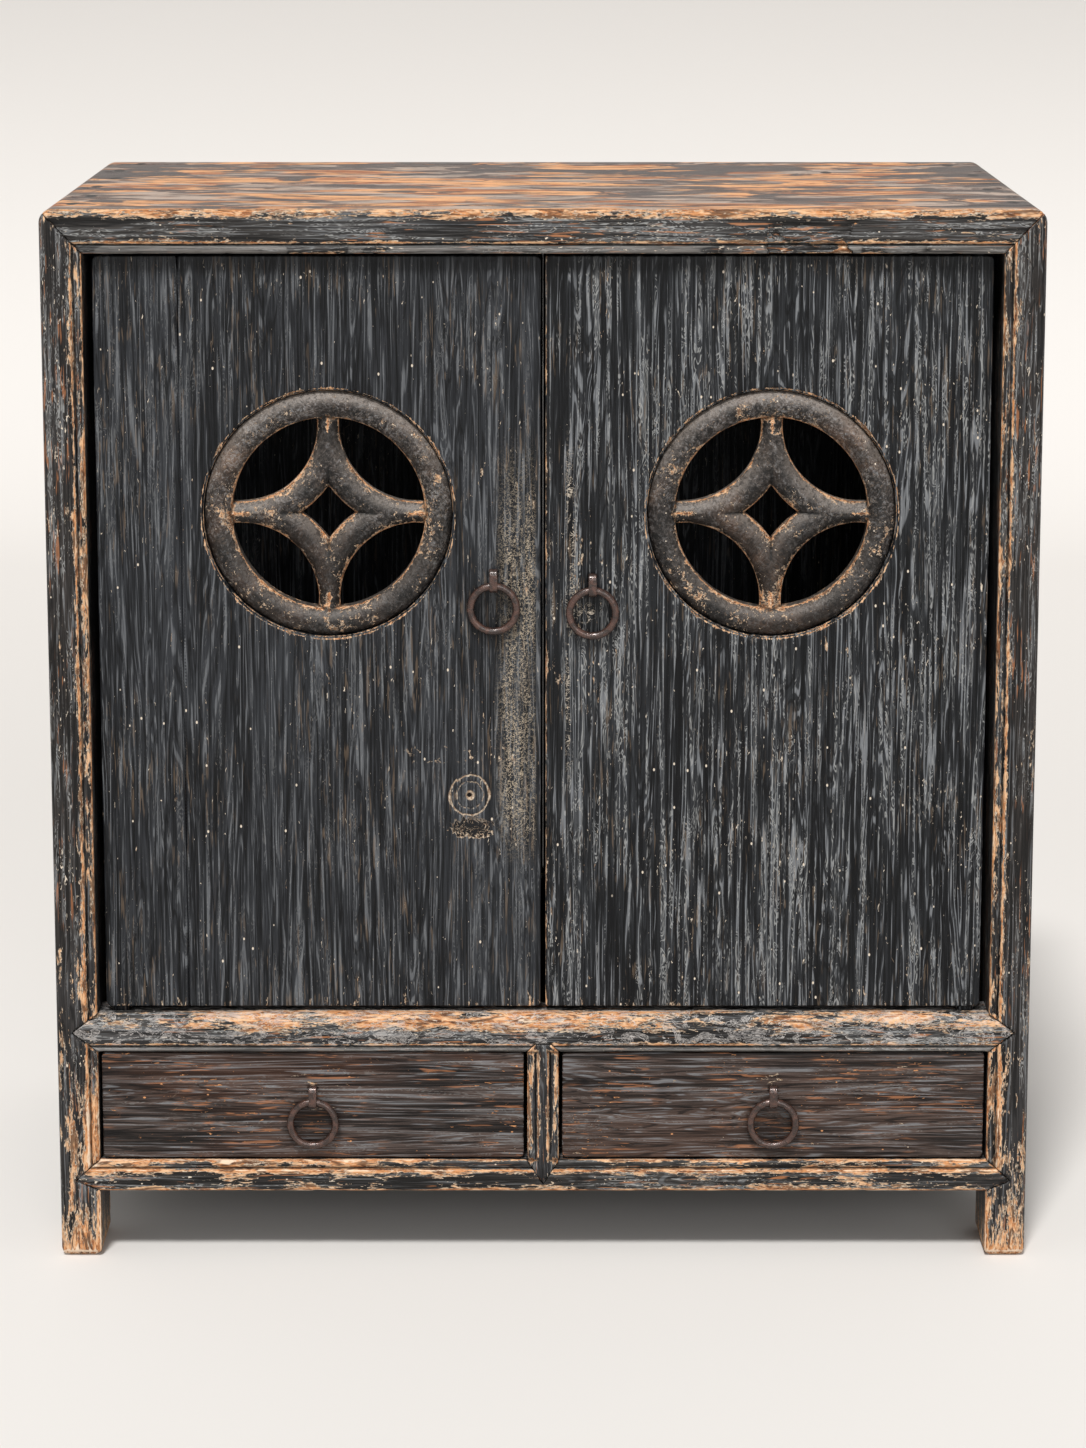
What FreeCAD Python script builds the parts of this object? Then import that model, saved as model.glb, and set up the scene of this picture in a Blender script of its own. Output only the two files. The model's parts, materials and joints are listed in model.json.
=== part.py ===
import FreeCAD, Part
import os
import re

import Sketcher

# Kang cabinet: a mitred and beaded frame, two pivoted doors with pierced coin roundels
# and two drawers. Millimetres, Z up, front towards -Y, origin on the floor under the middle.

# Driving dimensions
SIZES = {
    # whole cabinet
    "width": 860,
    "depth": 520,
    "height": 935,
    "arris_round": 5,
    "crown_round": 12,
    "overrun": 5,
    # frame timbers
    "post_width": 36,
    "post_depth": 76,
    "rail_depth": 44,
    "top_rail_height": 38,
    "mid_rail_height": 34.5,
    "mid_rail_round": 11,
    "bottom_rail_height": 28.5,
    "plain_rail_depth": 30,
    "leg_height": 61,
    "foot_bevel": 4.5,
    "drawer_opening_height": 100,
    # beads and pointed shoulders
    "bead_width": 7.5,
    "bead_drop": 2,
    "quirk_width": 2,
    "small_bead_width": 4.5,
    "shoulder_depth": 12,
    "mid_point_length": 23,
    "bottom_point_length": 22,
    "bottom_point_height": 9,
    "divider_width": 28,
    "divider_depth": 40,
    "divider_point_length": 23,
    "divider_head_length": 7,
    # hidden joints
    "tenon_length": 20,
    "tenon_thickness": 12,
    "tenon_setback": 16,
    "tenon_shoulder": 5,
    "joint_play": 0.2,
    # boards and panels
    "top_board_thickness": 18,
    "top_board_rebate": 10,
    "panel_thickness": 10,
    "panel_setback": 10,
    "panel_groove": 6,
    "panel_play": 0.3,
    "floor_thickness": 12,
    "floor_drop": 6,
    "nail_radius": 1.6,
    "nail_length": 42,
    "nail_inset": 17,
    # doors
    "door_thickness": 24,
    "door_recess": 12,
    "door_top_gap": 2.5,
    "door_bottom_gap": 4,
    "hinge_gap": 7.5,
    "meeting_gap": 4,
    "door_arris": 1.6,
    "door_corner_round": 5,
    "hinge_strip_clearance": 20,
    "pivot_inset": 12,
    "pivot_radius": 8,
    "pivot_play": 0.3,
    "pivot_rest_gap": 0.3,
    "top_pivot_reach": 10,
    "top_socket_depth": 24,
    "bottom_socket_depth": 12,
    "batten_width": 42,
    "batten_thickness": 16,
    "batten_inset": 56,
    "batten_end_gap": 34,
    "batten_chamfer": 4,
    # pierced roundels
    "roundel_radius": 107.5,
    "roundel_play": 0.3,
    "roundel_drop": 224.5,
    "roundel_thickness": 22,
    "roundel_ring_width": 24,
    "roundel_ring_proud": 2,
    "roundel_ring_dome": 5.5,
    "roundel_bevel": 2,
    "rib_width": 26.3,
    "rib_dome": 6,
    "rib_drop": 1.5,
    # ring pulls
    "ring_radius": 20,
    "ring_wire_radius": 3.2,
    "eye_play": 0.6,
    "eye_rise": 9.5,
    "strap_width": 7,
    "strap_thickness": 1.8,
    "strap_play": 0.1,
    "clench_length": 12,
    "pull_standoff": 6.5,
    "left_door_pull_drop": 62,
    "right_door_pull_drop": 66,
    "door_pull_reach": 41,
    "drawer_pull_rise": 5,
    # drawers
    "drawer_recess": 3,
    "drawer_side_gap": 3,
    "drawer_top_gap": 1.3,
    "drawer_bottom_gap": 1.7,
    "drawer_corner_round": 4,
    "drawer_front_thickness": 18,
    "drawer_rear_gap": 37,
    "drawer_wall_thickness": 12,
    "drawer_wall_height": 80,
    "drawer_wall_inset": 1.5,
    "drawer_bottom_thickness": 8,
    "drawer_bottom_lift": 6,
    "drawer_groove": 5,
    "drawer_run_gap": 0.3,
    "runner_width": 30,
    "runner_height": 20,
    "guide_height": 20,
}

# Shares: the roundels' centres across each door, and the coin pattern's arcs in its ring
LEFT_ROUNDEL_SHARE = 0.4785
RIGHT_ROUNDEL_SHARE = 0.5098
RIB_OFFSET_SHARE = 0.9174
RIB_RADIUS_SHARE = 0.9605

# Counts and angles, which keep their value when the cabinet grows
FULL_TURN = 360
FACING_FRONT = 90
RIB_SWEEP = 106
RIB_TURN = 225
NAILS_PER_END = 4

# How near two places or two directions count as the same
SAME_PLACE = 1e-4
SAME_DIRECTION = 1e-6

# Levels, worked out from the sizes
BOTTOM_RAIL_TOP = "(leg_height + bottom_rail_height)"
MID_RAIL_FOOT = f"({BOTTOM_RAIL_TOP} + drawer_opening_height)"
MID_RAIL_TOP = f"({MID_RAIL_FOOT} + mid_rail_height)"
TOP_RAIL_FOOT = "(height - top_rail_height)"
BOARD_FOOT = "(height - top_board_thickness)"
FLOOR_TOP = f"({MID_RAIL_TOP} - floor_drop)"
DOOR_FOOT = f"({MID_RAIL_TOP} + door_bottom_gap)"
DOOR_HEAD = f"({TOP_RAIL_FOOT} - door_top_gap)"
DRAWER_FOOT = f"({BOTTOM_RAIL_TOP} + drawer_bottom_gap)"
DRAWER_HEAD = f"({MID_RAIL_FOOT} - drawer_top_gap)"
DRAWER_WALL_FOOT = f"({BOTTOM_RAIL_TOP} + drawer_run_gap)"

# Places across and along the cabinet
SIDE = "(width / 2)"
FRONT = "(-depth / 2)"
REAR = "(depth / 2)"
INNER = "(width / 2 - post_width)"
FRONT_POST_BACK = "(post_depth - depth / 2)"
REAR_POST_FACE = "(depth / 2 - post_depth)"
RAIL_BACK = "(rail_depth - depth / 2)"
REAR_RAIL_FACE = "(depth / 2 - plain_rail_depth)"
DOOR_FACE = "(door_recess - depth / 2)"
DOOR_BACK = "(door_recess + door_thickness - depth / 2)"
DOOR_HINGE_EDGE = f"({INNER} - hinge_gap)"
DOOR_MEETING_EDGE = "(meeting_gap / 2)"
DOOR_WIDTH = f"({DOOR_HINGE_EDGE} - {DOOR_MEETING_EDGE})"
LEFT_ROUNDEL_REACH = f"({DOOR_WIDTH} * {LEFT_ROUNDEL_SHARE})"
RIGHT_ROUNDEL_REACH = f"({DOOR_WIDTH} * {RIGHT_ROUNDEL_SHARE})"
ROUNDEL_LEVEL = f"({DOOR_HEAD} - roundel_drop)"
ROUNDEL_INNER = "(roundel_radius - roundel_ring_width)"
RIB_ARC_OFFSET = f"({ROUNDEL_INNER} * {RIB_OFFSET_SHARE})"
RIB_ARC_RADIUS = f"({ROUNDEL_INNER} * {RIB_RADIUS_SHARE})"
SEAM_REACH = f"({LEFT_ROUNDEL_REACH} + roundel_radius + hinge_strip_clearance)"
LEFT_DOOR_PULL_LEVEL = f"({ROUNDEL_LEVEL} - left_door_pull_drop)"
RIGHT_DOOR_PULL_LEVEL = f"({ROUNDEL_LEVEL} - right_door_pull_drop)"
DRAWER_FACE = "(drawer_recess - depth / 2)"
DRAWER_FRONT_BACK = "(drawer_recess + drawer_front_thickness - depth / 2)"
DRAWER_REAR = f"({REAR_RAIL_FACE} - drawer_rear_gap)"
DRAWER_OUTER = f"({INNER} - drawer_side_gap)"
DRAWER_INNER = "(divider_width / 2 + drawer_side_gap)"
EYE_INNER = "(ring_wire_radius + eye_play)"
EYE_OUTER = f"({EYE_INNER} + strap_thickness)"
MORTISE_MOUTH = f"(-{INNER} + overrun)"

# Foot and head of the tenons of the top, middle and bottom rails, before their shoulders
TOP_TENON_HEAD = "(height - tenon_length / 2)"
TENON_LEVELS = (
    (TOP_RAIL_FOOT, TOP_TENON_HEAD),
    (MID_RAIL_FOOT, MID_RAIL_TOP),
    ("leg_height", BOTTOM_RAIL_TOP),
)

doc = FreeCAD.newDocument("KangCabinet")
sheet = doc.addObject("Spreadsheet::Sheet", "Sizes")
pieces = {}


def fill_sheet():
    """Write every driving dimension into its own named cell."""
    for row, (alias, size) in enumerate(SIZES.items(), start=1):
        sheet.set(f"A{row}", str(size))
        sheet.setAlias(f"A{row}", alias)
    doc.recompute()


def sized(text):
    """Turn the names of sizes in an expression into references to their cells."""
    return re.sub(r"[a-z_]+[a-z]", lambda m: f"Sizes.{m[0]}" if m[0] in SIZES else m[0], text)


def number(text):
    """Value of an expression with the sizes as they stand."""
    return float(sheet.evalExpression(sized(text)))


def bind(item, prop, text):
    """Tie one property of an object to an expression in the sizes."""
    item.setExpression(prop, sized(text))


def piece(name, item):
    """Name a finished sub-part, which becomes one file."""
    item.Label = name
    pieces[name] = item
    return item


# Blocks and joints between timbers


def block(x, y, z):
    """Plain block between two places along each axis."""
    box = doc.addObject("Part::Box", "Block")
    for size, axis, (low, high) in zip(("Length", "Width", "Height"), "xyz", (x, y, z)):
        bind(box, size, f"({high}) - ({low})")
        bind(box, f"Placement.Base.{axis}", low)
    return box


def joined(base, additions):
    """One timber made of a body and the tenons or tongues that it ends in."""
    whole = doc.addObject("Part::MultiFuse", "Joined")
    whole.Shapes = [base] + list(additions)
    whole.Refine = True
    return whole


def relieved(base, cutters):
    """A timber less its mortises, grooves and rebates."""
    cut = doc.addObject("Part::Cut", "Relieved")
    cut.Base = base
    cut.Tool = cutters[0]
    if len(cutters) > 1:
        tools = doc.addObject("Part::MultiFuse", "Cutters")
        tools.Shapes = list(cutters)
        cut.Tool = tools
    return cut


def eased(base, envelope):
    """A timber with the arrises that it shares with the whole cabinet rounded."""
    common = doc.addObject("Part::Common", "Eased")
    common.Base = base
    common.Tool = envelope
    return common


def mirrored(source, normal=(1, 0, 0)):
    """The same piece on the other side of the cabinet, or across another middle plane."""
    mirror = doc.addObject("Part::Mirroring", "Mirrored")
    mirror.Source = source
    mirror.Normal = FreeCAD.Vector(*normal)
    return mirror


def tenon_block(x, y, z, play="0"):
    """Tenon, or with some play its mortise, between two places along each axis."""
    return block(*[(f"{low} - {play}", f"{high} + {play}") for low, high in (x, y, z)])


# Bodies from sketches


def body(name, x="0", y="0", z="0"):
    """Empty body with its corner at a place in the cabinet."""
    new = doc.addObject("PartDesign::Body", name)
    for axis, place in zip("xyz", (x, y, z)):
        bind(new, f"Placement.Base.{axis}", place)
    return new


def origin_plane(owner, role):
    """One of the body's own origin planes or axes."""
    return next(item for item in owner.Origin.OriginFeatures if item.Role == role)


def sketch(owner, role, lift="0"):
    """Sketch on an origin plane of its body, lifted along the plane's normal."""
    new = owner.newObject("Sketcher::SketchObject", "Sketch")
    new.AttachmentSupport = [(origin_plane(owner, role), "")]
    new.MapMode = "FlatFace"
    bind(new, "AttachmentOffset.Base.z", lift)
    return new


def fix_point(drawing, edge, end, x, y):
    """Hold one end of an edge at a place given by two expressions."""
    for kind, text in (("DistanceX", x), ("DistanceY", y)):
        held = drawing.addConstraint(Sketcher.Constraint(kind, -1, 1, edge, end, number(text)))
        bind(drawing, f"Constraints[{held}]", text)


def outline(drawing, corners):
    """Closed outline, counter-clockwise, through corners of (x, y) or (x, y, bulge).

    A bulge turns the side that leaves its corner into an arc that stands outwards.
    A half round has a fourth value, the height of its centre.
    """
    first = drawing.GeometryCount
    places = [(number(c[0]), number(c[1])) for c in corners]
    for index, corner in enumerate(corners):
        (x1, y1), (x2, y2) = places[index], places[(index + 1) % len(places)]
        start = FreeCAD.Vector(x1, y1, 0)
        stop = FreeCAD.Vector(x2, y2, 0)
        if len(corner) == 2:
            drawing.addGeometry(Part.LineSegment(start, stop))
            continue
        bulge = number(corner[2])
        side = (stop - start).cross(FreeCAD.Vector(0, 0, 1)).normalize()
        crest = (start + stop) * 0.5 + side * bulge
        drawing.addGeometry(Part.Arc(start, crest, stop))
    for index, corner in enumerate(corners):
        edge = first + index
        following = first + (index + 1) % len(corners)
        arc = len(corner) > 2
        next_arc = len(corners[(index + 1) % len(corners)]) > 2
        leave = 2
        if arc and not starts_at(drawing, edge, places[index]):
            leave = 1
        enter = 1
        if next_arc and not starts_at(drawing, following, places[(index + 1) % len(places)]):
            enter = 2
        drawing.addConstraint(Sketcher.Constraint("Coincident", edge, leave, following, enter))
        fix_point(drawing, following, enter, *corners[(index + 1) % len(corners)][:2])
    for index, corner in enumerate(corners):
        if len(corner) == 3:
            hold_bulge(drawing, first + index, corner, corners[(index + 1) % len(corners)])
        if len(corner) == 4:
            hold_centre(drawing, first + index, corner[3])


def starts_at(drawing, edge, place):
    """Whether an arc's first end is at a place."""
    return drawing.Geometry[edge].StartPoint.distanceToPoint(FreeCAD.Vector(*place, 0)) < SAME_PLACE


def hold_bulge(drawing, edge, corner, following):
    """Tie the radius of an arc to its chord and its bulge."""
    chord = f"(({following[0]} - ({corner[0]}))^2 + ({following[1]} - ({corner[1]}))^2)"
    radius = f"{chord} / 8 / ({corner[2]}) + ({corner[2]}) / 2"
    held = drawing.addConstraint(Sketcher.Constraint("Radius", edge, number(radius)))
    bind(drawing, f"Constraints[{held}]", radius)


def hold_centre(drawing, edge, y):
    """Hold the centre of a half round at a height."""
    held = drawing.addConstraint(Sketcher.Constraint("DistanceY", -1, 1, edge, 3, number(y)))
    bind(drawing, f"Constraints[{held}]", y)


def circle(drawing, x, y, radius):
    """Circle about a place, of a bound radius."""
    centre = FreeCAD.Vector(number(x), number(y), 0)
    edge = drawing.addGeometry(Part.Circle(centre, FreeCAD.Vector(0, 0, 1), number(radius)))
    fix_point(drawing, edge, 3, x, y)
    held = drawing.addConstraint(Sketcher.Constraint("Radius", edge, number(radius)))
    bind(drawing, f"Constraints[{held}]", radius)


def rectangle(drawing, x, y):
    """Rectangle between two places along each axis of the sketch."""
    outline(drawing, ((x[0], y[0]), (x[1], y[0]), (x[1], y[1]), (x[0], y[1])))


def feature(owner, kind, drawing, length=None, back=False):
    """Pad or pocket of a sketch, through everything where no length is given."""
    new = owner.newObject(f"PartDesign::{kind}", kind)
    new.Profile = drawing
    new.Reversed = back
    if length is None:
        new.Type = "ThroughAll"
    else:
        bind(new, "Length", length)
    doc.recompute()
    return new


def pocket(owner, drawing, length=None, back=False):
    """Pocket that has to take something away."""
    before = owner.Shape.Volume
    cut = feature(owner, "Pocket", drawing, length, back)
    if owner.Shape.Volume > before - number("joint_play") ** 3:
        raise RuntimeError(f"{owner.Label}: a pocket takes nothing away")
    return cut


def round_edges(owner, radius, wanted, kind="Fillet"):
    """Round or bevel the edges of a body that a test picks."""
    base = owner.Tip
    names = [f"Edge{i + 1}" for i, edge in enumerate(base.Shape.Edges) if wanted(edge)]
    if not names:
        raise RuntimeError(f"{owner.Label}: no edge to round")
    new = owner.newObject(f"PartDesign::{kind}", kind)
    new.Base = (base, names)
    bind(new, "Radius" if kind == "Fillet" else "Size", radius)
    doc.recompute()
    return new


def runs_along(edge, axis):
    """Whether a straight edge runs along an axis, given as 0, 1 or 2."""
    if edge.Curve.TypeId != "Part::GeomLine":
        return False
    direction = edge.Curve.Direction
    return abs(abs(direction[axis]) - 1) < SAME_DIRECTION


def lies_at(edge, axis, place):
    """Whether the whole of an edge lies at one place along an axis."""
    box = edge.BoundBox
    low, high = ((box.XMin, box.XMax), (box.YMin, box.YMax), (box.ZMin, box.ZMax))[axis]
    return abs(low - place) < SAME_PLACE and abs(high - place) < SAME_PLACE


# The rounded outside of the whole cabinet


def cabinet_envelope():
    """Block of the cabinet's overall size with its outer arrises worn round."""
    whole = body("CabinetEnvelope", f"-{SIDE}", FRONT)
    drawing = sketch(whole, "XY_Plane")
    rectangle(drawing, ("0", "width"), ("0", "depth"))
    feature(whole, "Pad", drawing, "height")
    top = number("height")
    round_edges(whole, "crown_round", lambda e: runs_along(e, 1) and lies_at(e, 2, top))
    round_edges(
        whole,
        "arris_round",
        lambda e: (runs_along(e, 2) and e.Length > top / 2) or (runs_along(e, 0) and lies_at(e, 2, top)),
    )
    return whole


# Posts


def mitre_cutter(above):
    """Wedge on one side of the left-hand mitre, which runs from corner to corner."""
    wedge = body("MitreWedge", f"-{SIDE}", f"{FRONT} - overrun", TOP_RAIL_FOOT)
    drawing = sketch(wedge, "XZ_Plane")
    run_out = "(overrun * post_width / top_rail_height)"
    low_end = (f"(post_width + {run_out})", "-overrun")
    high_end = (f"-{run_out}", "(top_rail_height + overrun)")
    if above:
        outline(drawing, (low_end, (low_end[0], high_end[1]), high_end))
    else:
        outline(drawing, (low_end, high_end, (high_end[0], low_end[1])))
    feature(wedge, "Pad", drawing, "rail_depth + overrun", back=True)
    return wedge


def post_outline(beaded):
    """Section of a post: outer face at 0, front at 0, with a quirked bead at the inner arris."""
    corners = [("0", "0")]
    if beaded:
        corners.append(("post_width - bead_width - quirk_width", "0"))
        corners.append(("post_width - bead_width", "bead_drop", "bead_drop"))
        corners.append(("post_width", "bead_drop"))
    else:
        corners.append(("post_width", "0"))
    corners.append(("post_width", "post_depth"))
    corners.append(("0", "post_depth"))
    return corners


def side_tenons(play="0", ends=(True, True)):
    """Tenons of the three side rails, or their mortises with some play."""
    rails = (
        ("leg_height", BOTTOM_RAIL_TOP),
        (MID_RAIL_FOOT, MID_RAIL_TOP),
        (f"({BOARD_FOOT} - top_rail_height)", BOARD_FOOT),
    )
    return [side_tenon(foot, head, play, ends) for foot, head in rails]


def side_tenon(foot, head, play, ends):
    """Tenon of one side rail, which runs into the front post, the rear post or both."""
    x = (f"(-{SIDE} + tenon_setback / 2)", f"(-{SIDE} + tenon_setback / 2 + tenon_thickness)")
    z = (f"({foot} + tenon_shoulder)", f"({head} - tenon_shoulder)")
    start = f"({FRONT_POST_BACK} - tenon_length)" if ends[0] else REAR_POST_FACE
    stop = f"({REAR_POST_FACE} + tenon_length)" if ends[1] else FRONT_POST_BACK
    return tenon_block(x, (start, stop), z, play)


def front_tenon(foot, head, play="0", inner=None):
    """Tenon at the left-hand end of a front rail, or its mortise."""
    inner = inner or f"-{INNER}"
    x = (f"(-{INNER} - tenon_length)", inner)
    y = (f"({FRONT} + tenon_setback)", f"({FRONT} + tenon_setback + tenon_thickness)")
    z = (f"({foot} + tenon_shoulder)", f"({head} - tenon_shoulder)")
    return tenon_block(x, y, z, play)


def rear_tenon(foot, head, play="0", inner=None):
    """Tenon at the left-hand end of a rear rail, or its mortise."""
    inner = inner or f"-{INNER}"
    x = (f"(-{INNER} - tenon_length)", inner)
    y = (f"({REAR} - tenon_setback - tenon_thickness)", f"({REAR} - tenon_setback)")
    z = (f"({foot} + tenon_shoulder)", f"({head} - tenon_shoulder)")
    return tenon_block(x, y, z, play)


def lap(name, x, z, play, corners):
    """End of a timber that laps over its neighbour's face, or with some play its notch."""
    end = body(name, x, FRONT, z)
    drawing = sketch(end, "XZ_Plane", "overrun")
    outline(drawing, corners)
    feature(end, "Pad", drawing, f"overrun + shoulder_depth + {play}", back=True)
    return end


def rail_point(name, foot, height, length, tip, play):
    """Pointed left-hand end of a front rail, which laps over the post's face."""
    corners = (
        ("overrun", f"-{play}"),
        ("overrun", f"{height} + {play}"),
        ("0", f"{height} + {play}"),
        (f"-{length} - {play}", tip),
        ("0", f"-{play}"),
    )
    return lap(name, f"-{INNER}", foot, play, corners)


def mid_point(play="0"):
    """Pointed end of the middle rail, even above and below."""
    height = "mid_rail_height"
    return rail_point("MidPoint", MID_RAIL_FOOT, height, "mid_point_length", f"{height} / 2", play)


def bottom_point(play="0"):
    """Pointed end of the bottom rail, which slopes down from its bead."""
    height = "bottom_rail_height"
    tip = "bottom_point_height"
    return rail_point("BottomPoint", "leg_height", height, "bottom_point_length", tip, play)


def panel_slot(foot, head):
    """Groove along the side of the posts for one side panel."""
    x = (f"(-{SIDE} + panel_setback)", f"(-{SIDE} + panel_setback + panel_thickness)")
    y = (f"({FRONT_POST_BACK} - panel_groove)", f"({REAR_POST_FACE} + panel_groove)")
    return block(x, y, (f"({foot} - panel_groove)", f"({head} + panel_groove)"))


def side_slots():
    """Grooves for the upper and the lower side panel."""
    return [
        panel_slot(BOTTOM_RAIL_TOP, MID_RAIL_FOOT),
        panel_slot(MID_RAIL_TOP, f"({BOARD_FOOT} - top_rail_height)"),
    ]


def back_slots():
    """Grooves round the upper and the lower back boards."""
    x = (f"(-{INNER} - panel_groove)", f"({INNER} + panel_groove)")
    y = (f"({REAR} - panel_setback - panel_thickness)", f"({REAR} - panel_setback)")
    lower = (f"({BOTTOM_RAIL_TOP} - panel_groove)", f"({MID_RAIL_FOOT} + panel_groove)")
    upper = (f"({MID_RAIL_TOP} - panel_groove)", f"({TOP_RAIL_FOOT} + panel_groove)")
    return [block(x, y, lower), block(x, y, upper)]


def floor_slot():
    """Grooves round the compartment's floor."""
    x = (f"(-{SIDE} + plain_rail_depth - panel_groove)", f"({SIDE} - plain_rail_depth + panel_groove)")
    y = (f"({RAIL_BACK} - panel_groove)", f"({REAR_RAIL_FACE} + panel_groove)")
    return block(x, y, (f"({FLOOR_TOP} - floor_thickness)", FLOOR_TOP))


def plain_foot():
    """Flat stretch of a front post's inner arris, from the floor to the bottom rail's point."""
    x = (f"(-{INNER} - bead_width - quirk_width)", f"(-{INNER})")
    y = (FRONT, f"({FRONT} + bead_drop + bead_drop)")
    return block(x, y, ("0", "(leg_height + bottom_point_height)"))


def post_blank(name, beaded):
    """Post with its section, its foot bevelled all round, standing at the front left."""
    post = body(name, f"-{SIDE}", FRONT)
    drawing = sketch(post, "XY_Plane")
    outline(drawing, post_outline(beaded))
    feature(post, "Pad", drawing, "height")
    if beaded:
        post = joined(post, [plain_foot()])
    square = body(f"{name}Foot", f"-{SIDE}", FRONT)
    drawing = sketch(square, "XY_Plane")
    rectangle(drawing, ("0", "post_width"), ("0", "post_depth"))
    feature(square, "Pad", drawing, "height")
    round_edges(square, "foot_bevel", lambda e: lies_at(e, 2, 0), "Chamfer")
    return eased(post, square)


def board_seat():
    """Room above the posts and rails for the top boards."""
    x = (f"(-{SIDE} - overrun)", f"({SIDE} + overrun)")
    y = (f"({RAIL_BACK} - top_board_rebate)", f"(-({RAIL_BACK} - top_board_rebate))")
    return block(x, y, (BOARD_FOOT, "(height + overrun)"))


def front_posts(envelope):
    """Front posts: mitred at the head, with notches for the pointed rails."""
    play = "joint_play"
    cutters = [mitre_cutter(above=True), board_seat(), mid_point(play), bottom_point(play)]
    cutters += side_tenons(play, (True, False)) + side_slots()
    cutters += [front_tenon(foot, head, play, MORTISE_MOUTH) for foot, head in TENON_LEVELS]
    left = eased(relieved(post_blank("FrontPost", True), cutters), envelope)
    piece("front_left_post", left)
    piece("front_right_post", mirrored(left))


def rear_posts(envelope):
    """Rear posts: the same joints without beads or points."""
    play = "joint_play"
    blank = mirrored(post_blank("RearPost", False), (0, 1, 0))
    cutters = [mirrored(mitre_cutter(above=True), (0, 1, 0)), board_seat()]
    cutters += side_tenons(play, (False, True)) + side_slots() + back_slots()
    cutters += [rear_tenon(foot, head, play, MORTISE_MOUTH) for foot, head in TENON_LEVELS]
    left = eased(relieved(blank, cutters), envelope)
    piece("rear_left_post", left)
    piece("rear_right_post", mirrored(left))


# Front and rear rails


def rail_blank(name, foot, height, span, bead=None, on_top=False):
    """Rail between two ends, with a quirked bead along one front arris."""
    rail = body(name, f"-{span}", FRONT, foot)
    drawing = sketch(rail, "YZ_Plane")
    corners = [("0", height), ("0", "0"), ("rail_depth", "0"), ("rail_depth", height)]
    if bead and on_top:
        low = f"({height} - {bead})"
        corners[:1] = [
            ("bead_drop", height, "bead_drop"),
            ("bead_drop", low),
            ("0", f"{low} - quirk_width"),
        ]
    elif bead:
        corners[1:2] = [
            ("0", f"{bead} + quirk_width"),
            ("bead_drop", bead, "bead_drop"),
            ("bead_drop", "0"),
        ]
    outline(drawing, corners)
    feature(rail, "Pad", drawing, f"2 * {span}")
    return rail


def pivot_sockets(level, depth):
    """Round sockets for the door pivots, sunk from a level."""
    sockets = []
    for sign in ("-", ""):
        socket = doc.addObject("Part::Cylinder", "PivotSocket")
        bind(socket, "Radius", "pivot_radius + pivot_play")
        bind(socket, "Height", depth)
        bind(socket, "Placement.Base.x", f"{sign}({DOOR_HINGE_EDGE} - pivot_inset)")
        bind(socket, "Placement.Base.y", f"{DOOR_FACE} + pivot_inset")
        bind(socket, "Placement.Base.z", level)
        sockets.append(socket)
    return sockets


def top_front_rail(envelope):
    """Top front rail, mitred over both posts, with the doors' upper sockets."""
    blank = rail_blank("TopFrontRail", TOP_RAIL_FOOT, "top_rail_height", SIDE, "bead_width")
    wedge = mitre_cutter(above=False)
    trimmed = relieved(blank, [wedge, mirrored(wedge), board_seat()])
    tenon = front_tenon(TOP_RAIL_FOOT, TOP_TENON_HEAD)
    whole = joined(trimmed, [tenon, mirrored(tenon)])
    rail = relieved(whole, pivot_sockets(TOP_RAIL_FOOT, "top_socket_depth"))
    piece("top_front_rail", eased(rail, envelope))


def top_rear_rail(envelope):
    """Top rear rail, mitred like the front one and grooved for the back boards."""
    blank = rail_blank("TopRearRail", TOP_RAIL_FOOT, "top_rail_height", SIDE)
    wedge = mitre_cutter(above=False)
    turned = mirrored(relieved(blank, [wedge, mirrored(wedge)]), (0, 1, 0))
    tenon = rear_tenon(TOP_RAIL_FOOT, TOP_TENON_HEAD)
    whole = joined(relieved(turned, [board_seat()]), [tenon, mirrored(tenon)])
    piece("top_rear_rail", eased(relieved(whole, back_slots()), envelope))


def nosed_blank(name, span):
    """Length of the middle rail, round-nosed above a small bead."""
    rail = rail_blank(name, MID_RAIL_FOOT, "mid_rail_height", span, "small_bead_width")
    top = number("mid_rail_height")

    def at_nose(e):
        return runs_along(e, 0) and lies_at(e, 2, top) and lies_at(e, 1, 0)

    round_edges(rail, "mid_rail_round", at_nose)
    return rail


def mid_front_rail():
    """Middle front rail with pointed ends, sockets and a groove for the floor."""
    reach = f"({INNER} + mid_point_length + overrun)"
    point = eased(mid_point(), nosed_blank("MidPointNose", reach))
    tenon = front_tenon(MID_RAIL_FOOT, MID_RAIL_TOP)
    whole = joined(nosed_blank("MidFrontRail", INNER), [point, mirrored(point), tenon, mirrored(tenon)])
    cutters = pivot_sockets(f"{MID_RAIL_TOP} - bottom_socket_depth", "bottom_socket_depth + overrun")
    cutters += [floor_slot(), divider_head("joint_play"), divider_tenon(MID_RAIL_FOOT, "joint_play")]
    piece("mid_front_rail", relieved(whole, cutters))


def beaded_blank(name, span):
    """Length of the bottom rail with the bead on its upper arris."""
    return rail_blank(name, "leg_height", "bottom_rail_height", span, "bead_width", on_top=True)


def bottom_front_rail():
    """Bottom front rail with a bead on its upper arris and pointed ends."""
    reach = f"({INNER} + bottom_point_length + overrun)"
    point = eased(bottom_point(), beaded_blank("BottomPointBead", reach))
    tenon = front_tenon("leg_height", BOTTOM_RAIL_TOP)
    blank = beaded_blank("BottomFrontRail", INNER)
    whole = joined(blank, [point, mirrored(point), tenon, mirrored(tenon)])
    cutters = [divider_foot("joint_play"), divider_tenon(BOTTOM_RAIL_TOP, "joint_play")]
    piece("bottom_front_rail", relieved(whole, cutters))


# Divider between the drawers


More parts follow.
